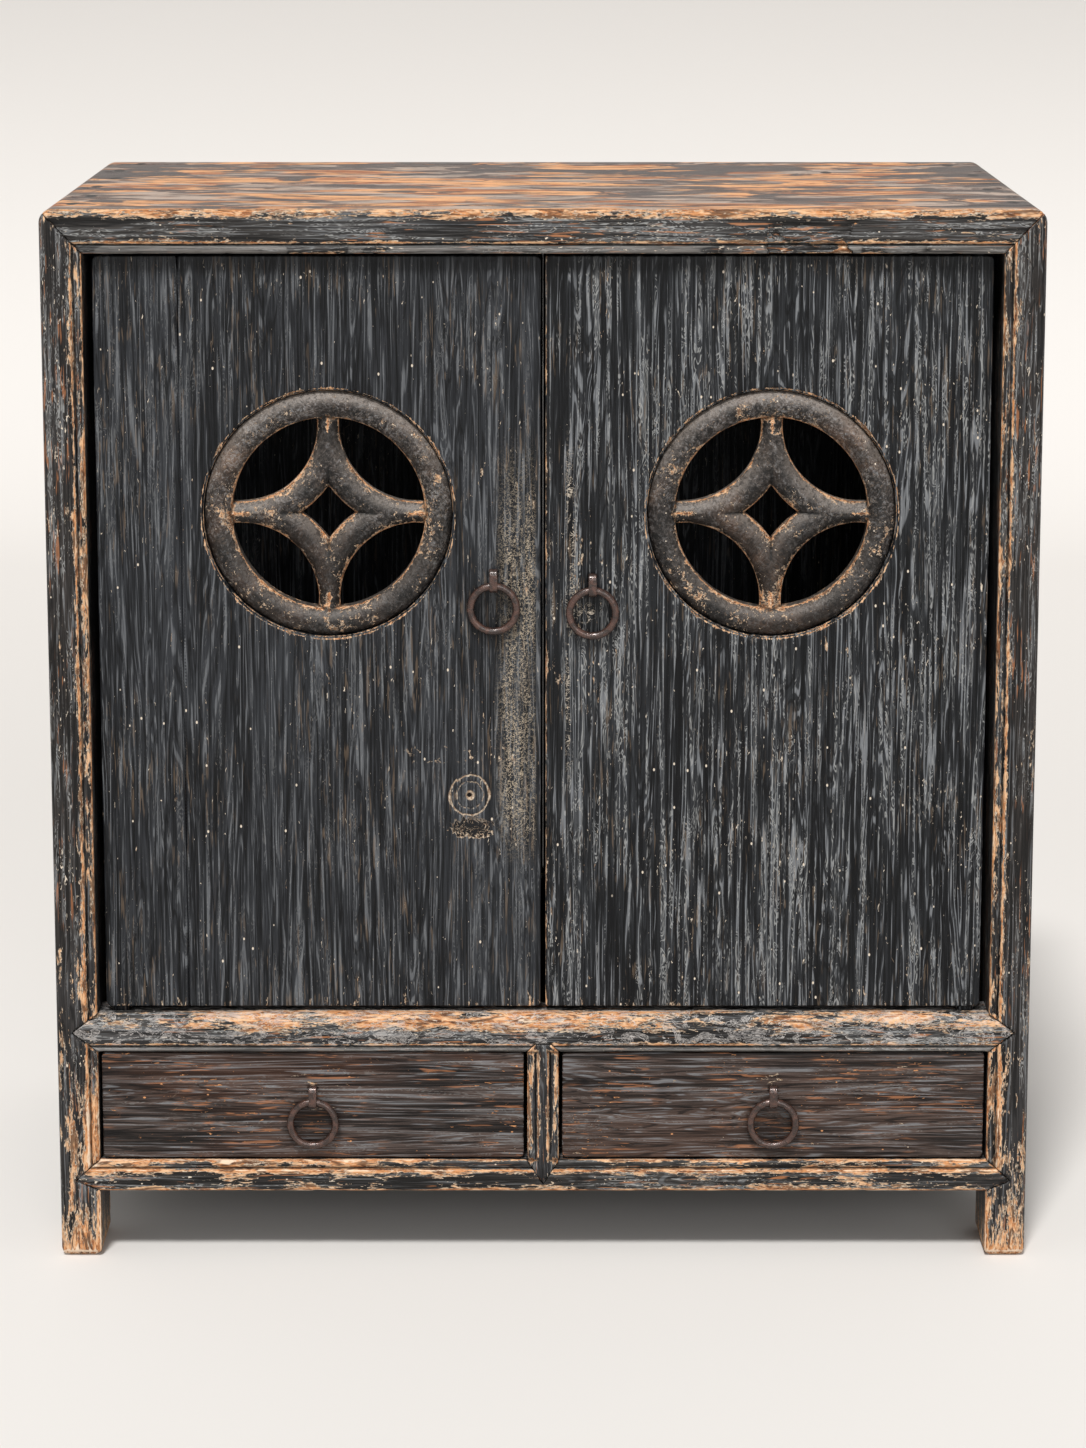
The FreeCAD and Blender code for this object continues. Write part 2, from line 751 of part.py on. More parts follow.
def divider_foot(play="0"):
    """Pointed foot of the divider, lapped into the bottom rail."""
    half = f"(divider_width / 2 + {play})"
    corners = ((f"-{half}", "0"), ("0", f"-divider_point_length - {play}"), (half, "0"))
    return lap("DividerFoot", "0", BOTTOM_RAIL_TOP, play, corners)


def divider_head(play="0"):
    """Head of the divider, mitred into the middle rail's small bead."""
    half = f"(divider_width / 2 + {play})"
    narrow = f"(divider_width / 2 - divider_head_length + {play})"
    rise = f"divider_head_length + {play}"
    corners = ((f"-{half}", "0"), (half, "0"), (narrow, rise), (f"-{narrow}", rise))
    return lap("DividerHead", "0", MID_RAIL_FOOT, play, corners)


def divider_tenon(level, play="0"):
    """Stub tenon of the divider at its foot or head."""
    x = ("(-tenon_thickness / 2)", "(tenon_thickness / 2)")
    y = (f"({FRONT} + tenon_setback)", f"({FRONT} + tenon_setback + tenon_thickness)")
    return tenon_block(x, y, (f"({level} - tenon_length / 2)", f"({level} + tenon_length / 2)"), play)


def drawer_divider():
    """Divider with a bead on each arris, a pointed foot and a mitred head."""
    bar = body("DividerBar", "-divider_width / 2", FRONT, BOTTOM_RAIL_TOP)
    drawing = sketch(bar, "XY_Plane")
    corners = (
        ("0", "bead_drop", "bead_drop"),
        ("bead_width", "bead_drop"),
        ("bead_width + quirk_width", "0"),
        ("divider_width - bead_width - quirk_width", "0"),
        ("divider_width - bead_width", "bead_drop", "bead_drop"),
        ("divider_width", "bead_drop"),
        ("divider_width", "divider_depth"),
        ("0", "divider_depth"),
    )
    outline(drawing, corners)
    feature(bar, "Pad", drawing, "drawer_opening_height")
    room = block(("-divider_width", "divider_width"), (FRONT, "0"), ("0", "height"))
    ends = [eased(divider_foot(), room), eased(divider_head(), room)]
    ends += [divider_tenon(BOTTOM_RAIL_TOP), divider_tenon(MID_RAIL_FOOT)]
    piece("drawer_divider", joined(bar, ends))


# Plain rails at the sides and the back


def side_rails(envelope):
    """Three plain rails on each side, grooved for panels and floor."""
    levels = {
        "bottom": ("leg_height", BOTTOM_RAIL_TOP),
        "mid": (MID_RAIL_FOOT, MID_RAIL_TOP),
        "top": (f"({BOARD_FOOT} - top_rail_height)", BOARD_FOOT),
    }
    x = (f"-{SIDE}", f"(-{SIDE} + plain_rail_depth)")
    for level, (foot, head) in levels.items():
        bar = block(x, (FRONT_POST_BACK, REAR_POST_FACE), (foot, head))
        whole = joined(bar, [side_tenon(foot, head, "0", (True, True))])
        cutters = side_slots() + [floor_slot()]
        if level == "top":
            cutters += nails("joint_play / 2")
        left = eased(relieved(whole, cutters), envelope)
        piece(f"left_{level}_rail", left)
        piece(f"right_{level}_rail", mirrored(left))


def rear_rails():
    """Middle and bottom rails of the back."""
    levels = {"bottom": ("leg_height", BOTTOM_RAIL_TOP), "mid": (MID_RAIL_FOOT, MID_RAIL_TOP)}
    for level, (foot, head) in levels.items():
        bar = block((f"-{INNER}", INNER), (REAR_RAIL_FACE, REAR), (foot, head))
        tenon = rear_tenon(foot, head)
        whole = joined(bar, [tenon, mirrored(tenon)])
        piece(f"{level}_rear_rail", relieved(whole, back_slots() + [floor_slot()]))


# Boards and panels


def nails(play="0"):
    """Nails that hold the top boards down on the left side rail."""
    row = []
    span = f"({REAR_POST_FACE} - {FRONT_POST_BACK})"
    for index in range(NAILS_PER_END):
        share = (index + 0.5) / NAILS_PER_END
        nail = doc.addObject("Part::Cylinder", "Nail")
        bind(nail, "Radius", f"nail_radius + {play}")
        bind(nail, "Height", f"nail_length + {play}")
        bind(nail, "Placement.Base.x", f"-{SIDE} + nail_inset")
        bind(nail, "Placement.Base.y", f"{FRONT_POST_BACK} + {span} * {share}")
        bind(nail, "Placement.Base.z", f"height - nail_length - {play}")
        row.append(nail)
    return row


def top_boards(envelope):
    """Two boards along the top, nailed at their ends."""
    seat = f"({RAIL_BACK} - top_board_rebate)"
    x = (f"-{SIDE}", SIDE)
    holes = nails("joint_play / 2")
    holes += [mirrored(hole) for hole in holes]
    for name, y in (("front_top_board", (seat, "0")), ("rear_top_board", ("0", f"(-{seat})"))):
        board = block(x, y, (BOARD_FOOT, "height"))
        piece(name, eased(relieved(board, holes), envelope))
    row = nails()
    piece("top_board_nails", group(row + [mirrored(nail) for nail in row]))


def group(items):
    """Several separate solids under one name."""
    together = doc.addObject("Part::Compound", "Group")
    together.Links = items
    return together


def side_panels():
    """Upper and lower panels, loose in the grooves of each side."""
    x = (f"(-{SIDE} + panel_setback)", f"(-{SIDE} + panel_setback + panel_thickness)")
    reach = "(panel_groove - panel_play)"
    y = (f"({FRONT_POST_BACK} - {reach})", f"({REAR_POST_FACE} + {reach})")
    levels = {
        "lower": (BOTTOM_RAIL_TOP, MID_RAIL_FOOT),
        "upper": (MID_RAIL_TOP, f"({BOARD_FOOT} - top_rail_height)"),
    }
    for level, (foot, head) in levels.items():
        left = block(x, y, (f"({foot} - {reach})", f"({head} + {reach})"))
        piece(f"left_{level}_panel", left)
        piece(f"right_{level}_panel", mirrored(left))


def back_boards():
    """Two upright boards above and one long board below."""
    reach = "(panel_groove - panel_play)"
    y = (f"({REAR} - panel_setback - panel_thickness)", f"({REAR} - panel_setback)")
    upper = (f"({MID_RAIL_TOP} - {reach})", f"({TOP_RAIL_FOOT} + {reach})")
    lower = (f"({BOTTOM_RAIL_TOP} - {reach})", f"({MID_RAIL_FOOT} + {reach})")
    left = block((f"(-{INNER} - {reach})", "0"), y, upper)
    piece("left_back_board", left)
    piece("right_back_board", mirrored(left))
    piece("lower_back_board", block((f"(-{INNER} - {reach})", f"({INNER} + {reach})"), y, lower))


def compartment_floor():
    """Floor of the compartment, in the grooves of the middle rails, notched round the posts."""
    reach = "(panel_groove - panel_play)"
    edge = f"({SIDE} - plain_rail_depth + {reach})"
    x = (f"-{edge}", edge)
    y = (f"({RAIL_BACK} - {reach})", f"({REAR_RAIL_FACE} + {reach})")
    board = block(x, y, (f"({FLOOR_TOP} - floor_thickness)", FLOOR_TOP))
    notches = []
    for start, stop in ((f"{FRONT} - overrun", FRONT_POST_BACK), (REAR_POST_FACE, f"{REAR} + overrun")):
        notch = block((f"-{SIDE}", f"(-{INNER} + panel_play)"), (start, stop), ("0", "height"))
        notches += [notch, mirrored(notch)]
    piece("compartment_floor", relieved(board, notches))


def drawer_runners():
    """Runners under the drawers, each with a guide that keeps a drawer straight."""
    foot = f"({BOTTOM_RAIL_TOP} - runner_height)"
    length = (RAIL_BACK, REAR_RAIL_FACE)
    wall = f"({DRAWER_OUTER} - drawer_wall_inset)"
    bar = block((f"-{INNER}", f"(-{INNER} + runner_width)"), length, (foot, BOTTOM_RAIL_TOP))
    guide = block(
        (f"(-{SIDE} + plain_rail_depth)", f"(-{wall} - drawer_run_gap)"),
        (FRONT_POST_BACK, REAR_POST_FACE),
        (foot, f"({BOTTOM_RAIL_TOP} + guide_height)"),
    )
    left = joined(bar, [guide])
    piece("left_drawer_runner", left)
    piece("right_drawer_runner", mirrored(left))
    middle = block(("-runner_width", "runner_width"), length, (foot, BOTTOM_RAIL_TOP))
    inner_wall = f"({DRAWER_INNER} + drawer_wall_inset - drawer_run_gap)"
    spine = block(
        (f"-{inner_wall}", inner_wall),
        (f"({FRONT} + divider_depth)", REAR_RAIL_FACE),
        (foot, f"({BOTTOM_RAIL_TOP} + guide_height)"),
    )
    seat = block(("-width", "width"), (FRONT, RAIL_BACK), ("0", BOTTOM_RAIL_TOP))
    piece("centre_drawer_runner", relieved(joined(middle, [spine]), [seat]))


# Doors


def door_plank(name, left, right):
    """One upright plank of a door, between two places across the cabinet."""
    plank = body(name, left, DOOR_FACE, DOOR_FOOT)
    drawing = sketch(plank, "XZ_Plane")
    rectangle(drawing, ("0", f"{right} - ({left})"), ("0", f"{DOOR_HEAD} - {DOOR_FOOT}"))
    feature(plank, "Pad", drawing, "door_thickness", back=True)
    return plank


def add_pivots(plank, x):
    """Round wooden pivots at the plank's foot and head."""
    low = sketch(plank, "XY_Plane")
    circle(low, x, "pivot_inset", "pivot_radius")
    feature(plank, "Pad", low, "door_bottom_gap + bottom_socket_depth - pivot_rest_gap", back=True)
    high = sketch(plank, "XY_Plane", f"{DOOR_HEAD} - {DOOR_FOOT}")
    circle(high, x, "pivot_inset", "pivot_radius")
    feature(plank, "Pad", high, "door_top_gap + top_pivot_reach")


def pierce_roundel(plank, x):
    """Round opening for the carved roundel, bevelled at the front."""
    drawing = sketch(plank, "XZ_Plane")
    circle(drawing, x, f"{ROUNDEL_LEVEL} - {DOOR_FOOT}", "roundel_radius + roundel_play")
    pocket(plank, drawing, back=False)
    round_edges(
        plank,
        "roundel_bevel",
        lambda e: e.Curve.TypeId == "Part::GeomCircle" and lies_at(e, 1, 0),
        "Chamfer",
    )


def pierce_for_strap(plank, x, z):
    """Slot through a board for the legs of a pull's strap."""
    drawing = sketch(plank, "XZ_Plane")
    half_width = "(strap_width / 2 + strap_play)"
    half_height = "(strap_thickness + strap_play)"
    rectangle(
        drawing,
        (f"{x} - {half_width}", f"{x} + {half_width}"),
        (f"{z} + eye_rise - {half_height}", f"{z} + eye_rise + {half_height}"),
    )
    pocket(plank, drawing)


def soften_plank(plank, corners):
    """Worn corners and front arrises of a plank; corners names the outer edge, 0 or its width."""
    foot, head = 0, number(f"{DOOR_HEAD} - {DOOR_FOOT}")
    edge = number(corners)

    def at_corner(e):
        return runs_along(e, 1) and lies_at(e, 0, edge) and (lies_at(e, 2, foot) or lies_at(e, 2, head))

    round_edges(plank, "door_corner_round", at_corner)

    def on_face(e):
        rim = lies_at(e, 2, foot) or lies_at(e, 2, head) or lies_at(e, 0, edge)
        return lies_at(e, 1, 0) and rim and e.Curve.TypeId == "Part::GeomLine"

    round_edges(plank, "door_arris", on_face)


def left_door():
    """Left door: a wide board with the roundel and the pull, glued to a hinge strip."""
    seam = f"(-{DOOR_MEETING_EDGE} - {SEAM_REACH})"
    board = door_plank("LeftDoorBoard", seam, f"(-{DOOR_MEETING_EDGE})")
    soften_plank(board, SEAM_REACH)
    pierce_roundel(board, f"{SEAM_REACH} - {LEFT_ROUNDEL_REACH}")
    pull_level = f"{LEFT_DOOR_PULL_LEVEL} - {DOOR_FOOT}"
    pierce_for_strap(board, f"{SEAM_REACH} - door_pull_reach", pull_level)
    piece("left_door_board", board)
    strip = door_plank("LeftHingeStrip", f"(-{DOOR_HINGE_EDGE})", seam)
    soften_plank(strip, "0")
    add_pivots(strip, "pivot_inset")
    piece("left_door_hinge_strip", strip)


def right_door():
    """Right door: one wide board with its own pivots."""
    board = door_plank("RightDoorBoard", DOOR_MEETING_EDGE, DOOR_HINGE_EDGE)
    soften_plank(board, DOOR_WIDTH)
    pierce_roundel(board, RIGHT_ROUNDEL_REACH)
    pierce_for_strap(board, "door_pull_reach", f"{RIGHT_DOOR_PULL_LEVEL} - {DOOR_FOOT}")
    add_pivots(board, f"{DOOR_WIDTH} - pivot_inset")
    piece("right_door_board", board)


def door_battens():
    """Two battens across the back of each door, bevelled on their free arrises."""
    span = f"({DOOR_WIDTH} - 2 * batten_end_gap)"
    levels = {
        "lower": f"({DOOR_FOOT} + batten_inset - batten_width / 2)",
        "upper": f"({DOOR_HEAD} - batten_inset - batten_width / 2)",
    }
    for level, foot in levels.items():
        batten = body("Batten", f"-{DOOR_HINGE_EDGE} + batten_end_gap", DOOR_BACK, foot)
        drawing = sketch(batten, "YZ_Plane")
        rectangle(drawing, ("0", "batten_thickness"), ("0", "batten_width"))
        feature(batten, "Pad", drawing, span)
        back = number("batten_thickness")
        round_edges(batten, "batten_chamfer", lambda e, y=back: lies_at(e, 1, y), "Chamfer")
        piece(f"left_door_{level}_batten", batten)
        piece(f"right_door_{level}_batten", mirrored(batten))


# Pierced roundels: a round moulding and four arcs that meet at its quarter points


def turn(owner, drawing, degrees, midplane=False):
    """Revolve a sketch about its own upright axis."""
    new = owner.newObject("PartDesign::Revolution", "Turned")
    new.Profile = drawing
    new.ReferenceAxis = (drawing, ["V_Axis"])
    new.Angle = degrees
    new.Midplane = midplane
    doc.recompute()
    return new


def domed_section(drawing, near, far, foot, edge, dome):
    """Section of a carved moulding: square below, domed above its edges."""
    outline(drawing, ((near, foot), (far, foot), (far, edge, dome), (near, edge)))


def ring_moulding():
    """Outer ring with a domed face, turned about the roundel's axis."""
    ring = body("RoundelRing")
    drawing = sketch(ring, "XZ_Plane")
    back = "(-roundel_thickness)"
    edge = "(roundel_ring_proud - roundel_ring_dome)"
    domed_section(drawing, ROUNDEL_INNER, "roundel_radius", back, edge, "roundel_ring_dome")
    turn(ring, drawing, FULL_TURN)
    return ring


def coin_rib():
    """Half-round arc bent round a point outside the centre, in one quarter of the roundel."""
    rib = body("RoundelRib")
    drawing = sketch(rib, "XZ_Plane", f"-{RIB_ARC_OFFSET}")
    turned = FreeCAD.Rotation(FreeCAD.Vector(0, 1, 0), RIB_TURN)
    drawing.AttachmentOffset = FreeCAD.Placement(drawing.AttachmentOffset.Base, turned)
    bind(drawing, "AttachmentOffset.Base.x", RIB_ARC_OFFSET)
    near = f"({RIB_ARC_RADIUS} - rib_width / 2)"
    far = f"({RIB_ARC_RADIUS} + rib_width / 2)"
    domed_section(drawing, near, far, "(-roundel_thickness)", "(-rib_drop - rib_dome)", "rib_dome")
    turn(rib, drawing, RIB_SWEEP, midplane=True)
    quarter = ("0", "roundel_radius")
    return eased(rib, block(quarter, quarter, ("-roundel_thickness", "0")))


def roundel(name, x):
    """Pierced roundel facing the front, its axis along the cabinet's depth."""
    upper = coin_rib()
    lower = mirrored(upper, (0, 1, 0))
    carved = joined(ring_moulding(), [upper, mirrored(upper), lower, mirrored(lower)])
    upright = FreeCAD.Rotation(FreeCAD.Vector(1, 0, 0), FACING_FRONT)
    carved.Placement = FreeCAD.Placement(FreeCAD.Vector(), upright)
    for axis, place in zip("xyz", (x, DOOR_FACE, ROUNDEL_LEVEL)):
        bind(carved, f"Placement.Base.{axis}", place)
    piece(name, carved)


# Ring pulls


def strap(name, x, z, face, board_thickness):
    """Split strap: an eye that carries the ring, a shank through the board and clenched legs."""
    pin = body(name, f"{x} - strap_width / 2", f"{face} - pull_standoff", z)
    eye = sketch(pin, "YZ_Plane")
    stadium(eye, EYE_OUTER)
    stadium(eye, EYE_INNER)
    feature(pin, "Pad", eye, "strap_width")
    shank = sketch(pin, "YZ_Plane")
    back = f"(pull_standoff + {board_thickness})"
    near = "(eye_rise - strap_thickness)"
    far = "(eye_rise + strap_thickness)"
    root = f"({EYE_INNER} + strap_thickness / 2)"
    outline(
        shank,
        (
            (root, near),
            (back, near),
            (back, f"{near} - clench_length"),
            (f"{back} + strap_thickness", f"{near} - clench_length"),
            (f"{back} + strap_thickness", f"{far} + clench_length"),
            (back, f"{far} + clench_length"),
            (back, far),
            (root, far),
        ),
    )
    feature(pin, "Pad", shank, "strap_width")
    piece(name, pin)


def stadium(drawing, radius):
    """Upright slot shape round the ring's axis and the strap's neck."""
    outline(
        drawing,
        (
            (f"-{radius}", "0", radius, "0"),
            (radius, "0"),
            (radius, "eye_rise", radius, "eye_rise"),
            (f"-{radius}", "eye_rise"),
        ),
    )


def pull_ring(name, x, z, face):
    """Ring hanging upright, its wire centred on the hinge axis at the top."""
    ring = doc.addObject("Part::Torus", name)
    bind(ring, "Radius1", "ring_radius")
    bind(ring, "Radius2", "ring_wire_radius")
    upright = FreeCAD.Rotation(FreeCAD.Vector(1, 0, 0), FACING_FRONT)
    ring.Placement = FreeCAD.Placement(FreeCAD.Vector(), upright)
    bind(ring, "Placement.Base.x", x)
    bind(ring, "Placement.Base.y", f"{face} - pull_standoff")
    bind(ring, "Placement.Base.z", f"{z} - ring_radius")
    piece(name, ring)


def pulls():
    """A strap and a ring on each door and each drawer."""
    middle = f"(({DRAWER_INNER} + {DRAWER_OUTER}) / 2)"
    level = f"(({DRAWER_FOOT} + {DRAWER_HEAD}) / 2 + drawer_pull_rise)"
    door = f"({DOOR_MEETING_EDGE} + door_pull_reach)"
    fittings = {
        "left_door": (f"-{door}", LEFT_DOOR_PULL_LEVEL, DOOR_FACE, "door_thickness"),
        "right_door": (door, RIGHT_DOOR_PULL_LEVEL, DOOR_FACE, "door_thickness"),
        "left_drawer": (f"-{middle}", level, DRAWER_FACE, "drawer_front_thickness"),
        "right_drawer": (middle, level, DRAWER_FACE, "drawer_front_thickness"),
    }
    for name, (x, z, face, board_thickness) in fittings.items():
        strap(f"{name}_pull_strap", x, z, face, board_thickness)
        pull_ring(f"{name}_pull_ring", x, z, face)


# Drawers


def drawer_front():
    """Left drawer's front board with worn corners and a slot for the strap."""
    front = body("DrawerFront", f"-{DRAWER_OUTER}", DRAWER_FACE, DRAWER_FOOT)
    drawing = sketch(front, "XZ_Plane")
    width = f"({DRAWER_OUTER} - {DRAWER_INNER})"
    tall = f"({DRAWER_HEAD} - {DRAWER_FOOT})"
    rectangle(drawing, ("0", width), ("0", tall))
    feature(front, "Pad", drawing, "drawer_front_thickness", back=True)
    round_edges(front, "drawer_corner_round", lambda e: runs_along(e, 1))
    round_edges(front, "door_arris", lambda e: lies_at(e, 1, 0))
    pierce_for_strap(front, f"{width} / 2", f"{tall} / 2 + drawer_pull_rise")
    return front


def drawer_walls():
    """Left drawer's sides, back and bottom, with the bottom in grooves of the sides."""
    outer = f"(-{DRAWER_OUTER} + drawer_wall_inset)"
    inner = f"(-{DRAWER_INNER} - drawer_wall_inset)"
    top = f"({DRAWER_WALL_FOOT} + drawer_wall_height)"
    bottom_foot = f"({DRAWER_WALL_FOOT} + drawer_bottom_lift)"
    bottom_head = f"({bottom_foot} + drawer_bottom_thickness)"
    length = (DRAWER_FRONT_BACK, DRAWER_REAR)
    height = (DRAWER_WALL_FOOT, top)
    sides = {
        "outer_side": (outer, f"({outer} + drawer_wall_thickness)"),
        "inner_side": (f"({inner} - drawer_wall_thickness)", inner),
    }
    groove_x = (
        f"({outer} + drawer_wall_thickness - drawer_groove)",
        f"({inner} - drawer_wall_thickness + drawer_groove)",
    )
    between = (f"({outer} + drawer_wall_thickness)", f"({inner} - drawer_wall_thickness)")
    groove = block(groove_x, (FRONT, REAR), (bottom_foot, bottom_head))
    walls = {name: relieved(block(x, length, height), [groove]) for name, x in sides.items()}
    back_y = (f"({DRAWER_REAR} - drawer_wall_thickness)", DRAWER_REAR)
    walls["back"] = block(between, back_y, (bottom_head, top))
    floor_x = (f"({groove_x[0]} + panel_play)", f"({groove_x[1]} - panel_play)")
    walls["bottom"] = block(floor_x, length, (bottom_foot, bottom_head))
    return walls


def drawers():
    """Both drawers, the right one the mirror of the left."""
    parts = {"front": drawer_front()}
    parts.update(drawer_walls())
    for name, item in parts.items():
        piece(f"left_drawer_{name}", item)
        piece(f"right_drawer_{name}", mirrored(item))


# The whole cabinet


def build():
    """Make every sub-part of the cabinet."""
    fill_sheet()
    envelope = cabinet_envelope()
    front_posts(envelope)
    rear_posts(envelope)
    top_front_rail(envelope)
    top_rear_rail(envelope)
    mid_front_rail()
    bottom_front_rail()
    drawer_divider()
    side_rails(envelope)
    rear_rails()
    top_boards(envelope)
    side_panels()
    back_boards()
    compartment_floor()
    drawer_runners()
    left_door()
    right_door()
    door_battens()
    roundel("left_roundel", f"(-{DOOR_MEETING_EDGE} - {LEFT_ROUNDEL_REACH})")
    roundel("right_roundel", f"({DOOR_MEETING_EDGE} + {RIGHT_ROUNDEL_REACH})")
    pulls()
    drawers()
    doc.recompute()


def check():
    """Stop if any object failed or any sub-part is empty or broken."""
    for item in doc.Objects:
        if "Invalid" in item.State or "Error" in item.State:
            raise RuntimeError(f"{item.Name} ({item.Label}) did not compute")
    for name, item in pieces.items():
        if item.Shape.isNull() or not item.Shape.isValid() or item.Shape.Volume <= 0:
            raise RuntimeError(f"{name} has no valid shape")


def write():
    """Write each sub-part to its own file."""
    os.makedirs("parts", exist_ok=True)
    for name, item in pieces.items():
        item.Shape.exportStep(f"parts/{name}.step")
        print(f"{name}: {len(item.Shape.Solids)} solid(s), {item.Shape.Volume / 1000:.1f} cm3")


build()
check()
write()
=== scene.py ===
import json
import math
from functools import partialmethod

import bmesh
import bpy
import numpy as np
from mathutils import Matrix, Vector
from mathutils.bvhtree import BVHTree
from mathutils.kdtree import KDTree


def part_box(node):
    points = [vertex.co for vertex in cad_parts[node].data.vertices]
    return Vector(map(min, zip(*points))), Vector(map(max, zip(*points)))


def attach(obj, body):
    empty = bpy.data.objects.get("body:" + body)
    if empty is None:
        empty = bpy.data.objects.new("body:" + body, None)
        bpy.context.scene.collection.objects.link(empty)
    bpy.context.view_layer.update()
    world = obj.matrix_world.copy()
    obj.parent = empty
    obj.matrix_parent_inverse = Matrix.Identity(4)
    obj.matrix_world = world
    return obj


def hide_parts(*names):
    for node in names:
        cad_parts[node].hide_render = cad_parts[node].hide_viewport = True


# The kang cabinet's worn looks, in the frame of its CAD model: lacquer rubbed through at the
# arrises, carved roundels, rusted ring pulls. Meshes and their wear are worked out in
# millimetres. Materials, lights and the camera are in metres, as the frame is.

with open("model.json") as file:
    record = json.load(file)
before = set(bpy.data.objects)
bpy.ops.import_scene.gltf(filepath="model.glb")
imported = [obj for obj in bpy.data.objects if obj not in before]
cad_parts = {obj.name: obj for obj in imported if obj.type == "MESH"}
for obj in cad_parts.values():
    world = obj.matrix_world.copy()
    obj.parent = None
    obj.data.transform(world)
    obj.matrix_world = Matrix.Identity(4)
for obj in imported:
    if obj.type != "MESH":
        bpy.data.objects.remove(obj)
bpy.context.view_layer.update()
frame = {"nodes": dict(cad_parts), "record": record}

MM = 0.001
WELD = 0.01  # corners closer than this are one
NARROW = 0.35  # slivers of the CAD mesh narrower than this are closed
FLAT_ANGLE = math.radians(0.5)
SHARP_ANGLE = 24
SHADE_ANGLE = 50
TOUCH = 0.75  # an arris this close to another piece is a joint line
SAMPLE_STEP = 1.5
NO_LINE = 1000.0
CELL = 12
MOST_ROUNDS = 26
SLOPE = 0.35  # growth of the triangles' sides away from the arrises
JOINT_NEAR = 4  # length of those sides along joint lines
RUB_WIDTH, JOINT_RUB_WIDTH = 3.6, 1.5
RUB_ROUNDS = 7
GRAIN_LINES = 20
SCAR = np.array([-64.5, -248, 420.0])
PLATE_RADIUS, PLATE_INNER, HOLE_RADIUS = 18.0, 12.0, 2.4


# Noise


PRIMES = (374761393, 668265263, 1274126177, 974711)
MIXER = 1103515245
WORD, FRACTION = 0xFFFFFFFF, 0xFFFFFF


def lattice(x, y, z, seed):
    """Repeatable value from 0 to 1 for each whole-number place."""
    mixed = (x * PRIMES[0] + y * PRIMES[1] + z * PRIMES[2] + seed * PRIMES[3]) & WORD
    mixed = ((mixed ^ (mixed >> 13)) * MIXER) & WORD
    mixed = ((mixed ^ (mixed >> 15)) * PRIMES[1]) & WORD
    return ((mixed ^ (mixed >> 14)) & FRACTION) / FRACTION


def noise(points, size, seed=0):
    """Smooth noise from -1 to 1 whose lumps have a size along each axis."""
    places = points / np.asarray(size, float)
    base = np.floor(places).astype(np.int64)
    part = places - base
    part = part * part * (3 - 2 * part)
    total = np.zeros(len(points))
    for corner in np.ndindex(2, 2, 2):
        weight = np.ones(len(points))
        for axis, step in enumerate(corner):
            weight *= part[:, axis] if step else 1 - part[:, axis]
        total += weight * lattice(*(base + corner).T, seed)
    return 2 * total - 1


def rough_noise(points, size, seed=0, layers=3):
    """Noise with finer layers on it, from about -1 to 1."""
    size = np.asarray(size, float)
    total = np.zeros(len(points))
    for layer in range(layers):
        total += noise(points, size / 2**layer, seed + layer) / 2**layer
    return total / 1.5


def ease(low, high, values):
    """0 below low, 1 above high and smooth between."""
    share = np.clip((values - low) / (high - low), 0, 1)
    return share * share * (3 - 2 * share)


def bell(values, width):
    """1 at 0 and falling off on both sides."""
    return np.exp(-((values / width) ** 2))


# Fine meshes made from the CAD solids


def read_node(name):
    """Welded corners and triangles of a CAD node."""
    mesh = frame["nodes"][name].data
    mesh.calc_loop_triangles()
    corners = np.empty(len(mesh.vertices) * 3, np.float32)
    mesh.vertices.foreach_get("co", corners)
    corners = corners.reshape(-1, 3).astype(float) / MM
    triangles = np.empty(len(mesh.loop_triangles) * 3, np.int32)
    mesh.loop_triangles.foreach_get("vertices", triangles)
    return weld(corners, triangles.reshape(-1, 3))


def crossed(points, triangles):
    """Normal of each triangle, twice its area long."""
    a, b, c = (points[triangles[:, i]] for i in range(3))
    return np.cross(b - a, c - a)


def unit(rows):
    """Rows brought to length 1."""
    return rows / np.maximum(np.linalg.norm(rows, axis=1, keepdims=True), 1e-12)


def point_normals(points, triangles):
    """Unit normal at each point, from the triangles round it."""
    weighted = crossed(points, triangles)
    normals = np.zeros_like(points)
    for corner in triangles.T:
        for axis in range(3):
            normals[:, axis] += np.bincount(corner, weighted[:, axis], minlength=len(points))
    return unit(normals)


def sides_of(triangles):
    """Each triangle's three sides as rows of an edge list, and that list."""
    pairs = np.concatenate([triangles[:, [0, 1]], triangles[:, [1, 2]], triangles[:, [2, 0]]])
    pairs.sort(axis=1)
    span = int(triangles.max()) + 1
    keys = pairs[:, 0].astype(np.int64) * span + pairs[:, 1]
    found, rows = np.unique(keys, return_inverse=True)
    edges = np.stack([found // span, found % span], axis=1)
    return rows.reshape(3, -1).T, edges


def sharp_edges(points, triangles):
    """Ends and outward direction of the sharp edges, and whether each stands out."""
    rows, edges = sides_of(triangles)
    flat = rows.T.reshape(-1)
    owner = np.tile(np.arange(len(triangles)), 3)
    order = np.argsort(flat, kind="stable")
    flat, owner = flat[order], owner[order]
    twin = np.flatnonzero(flat[1:] == flat[:-1])
    edge, first, second = flat[twin], owner[twin], owner[twin + 1]
    normals = unit(crossed(points, triangles))
    bend = (normals[first] * normals[second]).sum(1)
    middle = points[triangles[second]].mean(1)
    rise = ((middle - points[edges[edge, 0]]) * normals[first]).sum(1)
    sharp = bend < math.cos(math.radians(SHARP_ANGLE))
    edge, first, second, rise = edge[sharp], first[sharp], second[sharp], rise[sharp]
    outward = unit(normals[first] + normals[second])
    return points[edges[edge, 0]], points[edges[edge, 1]], outward, rise < 0


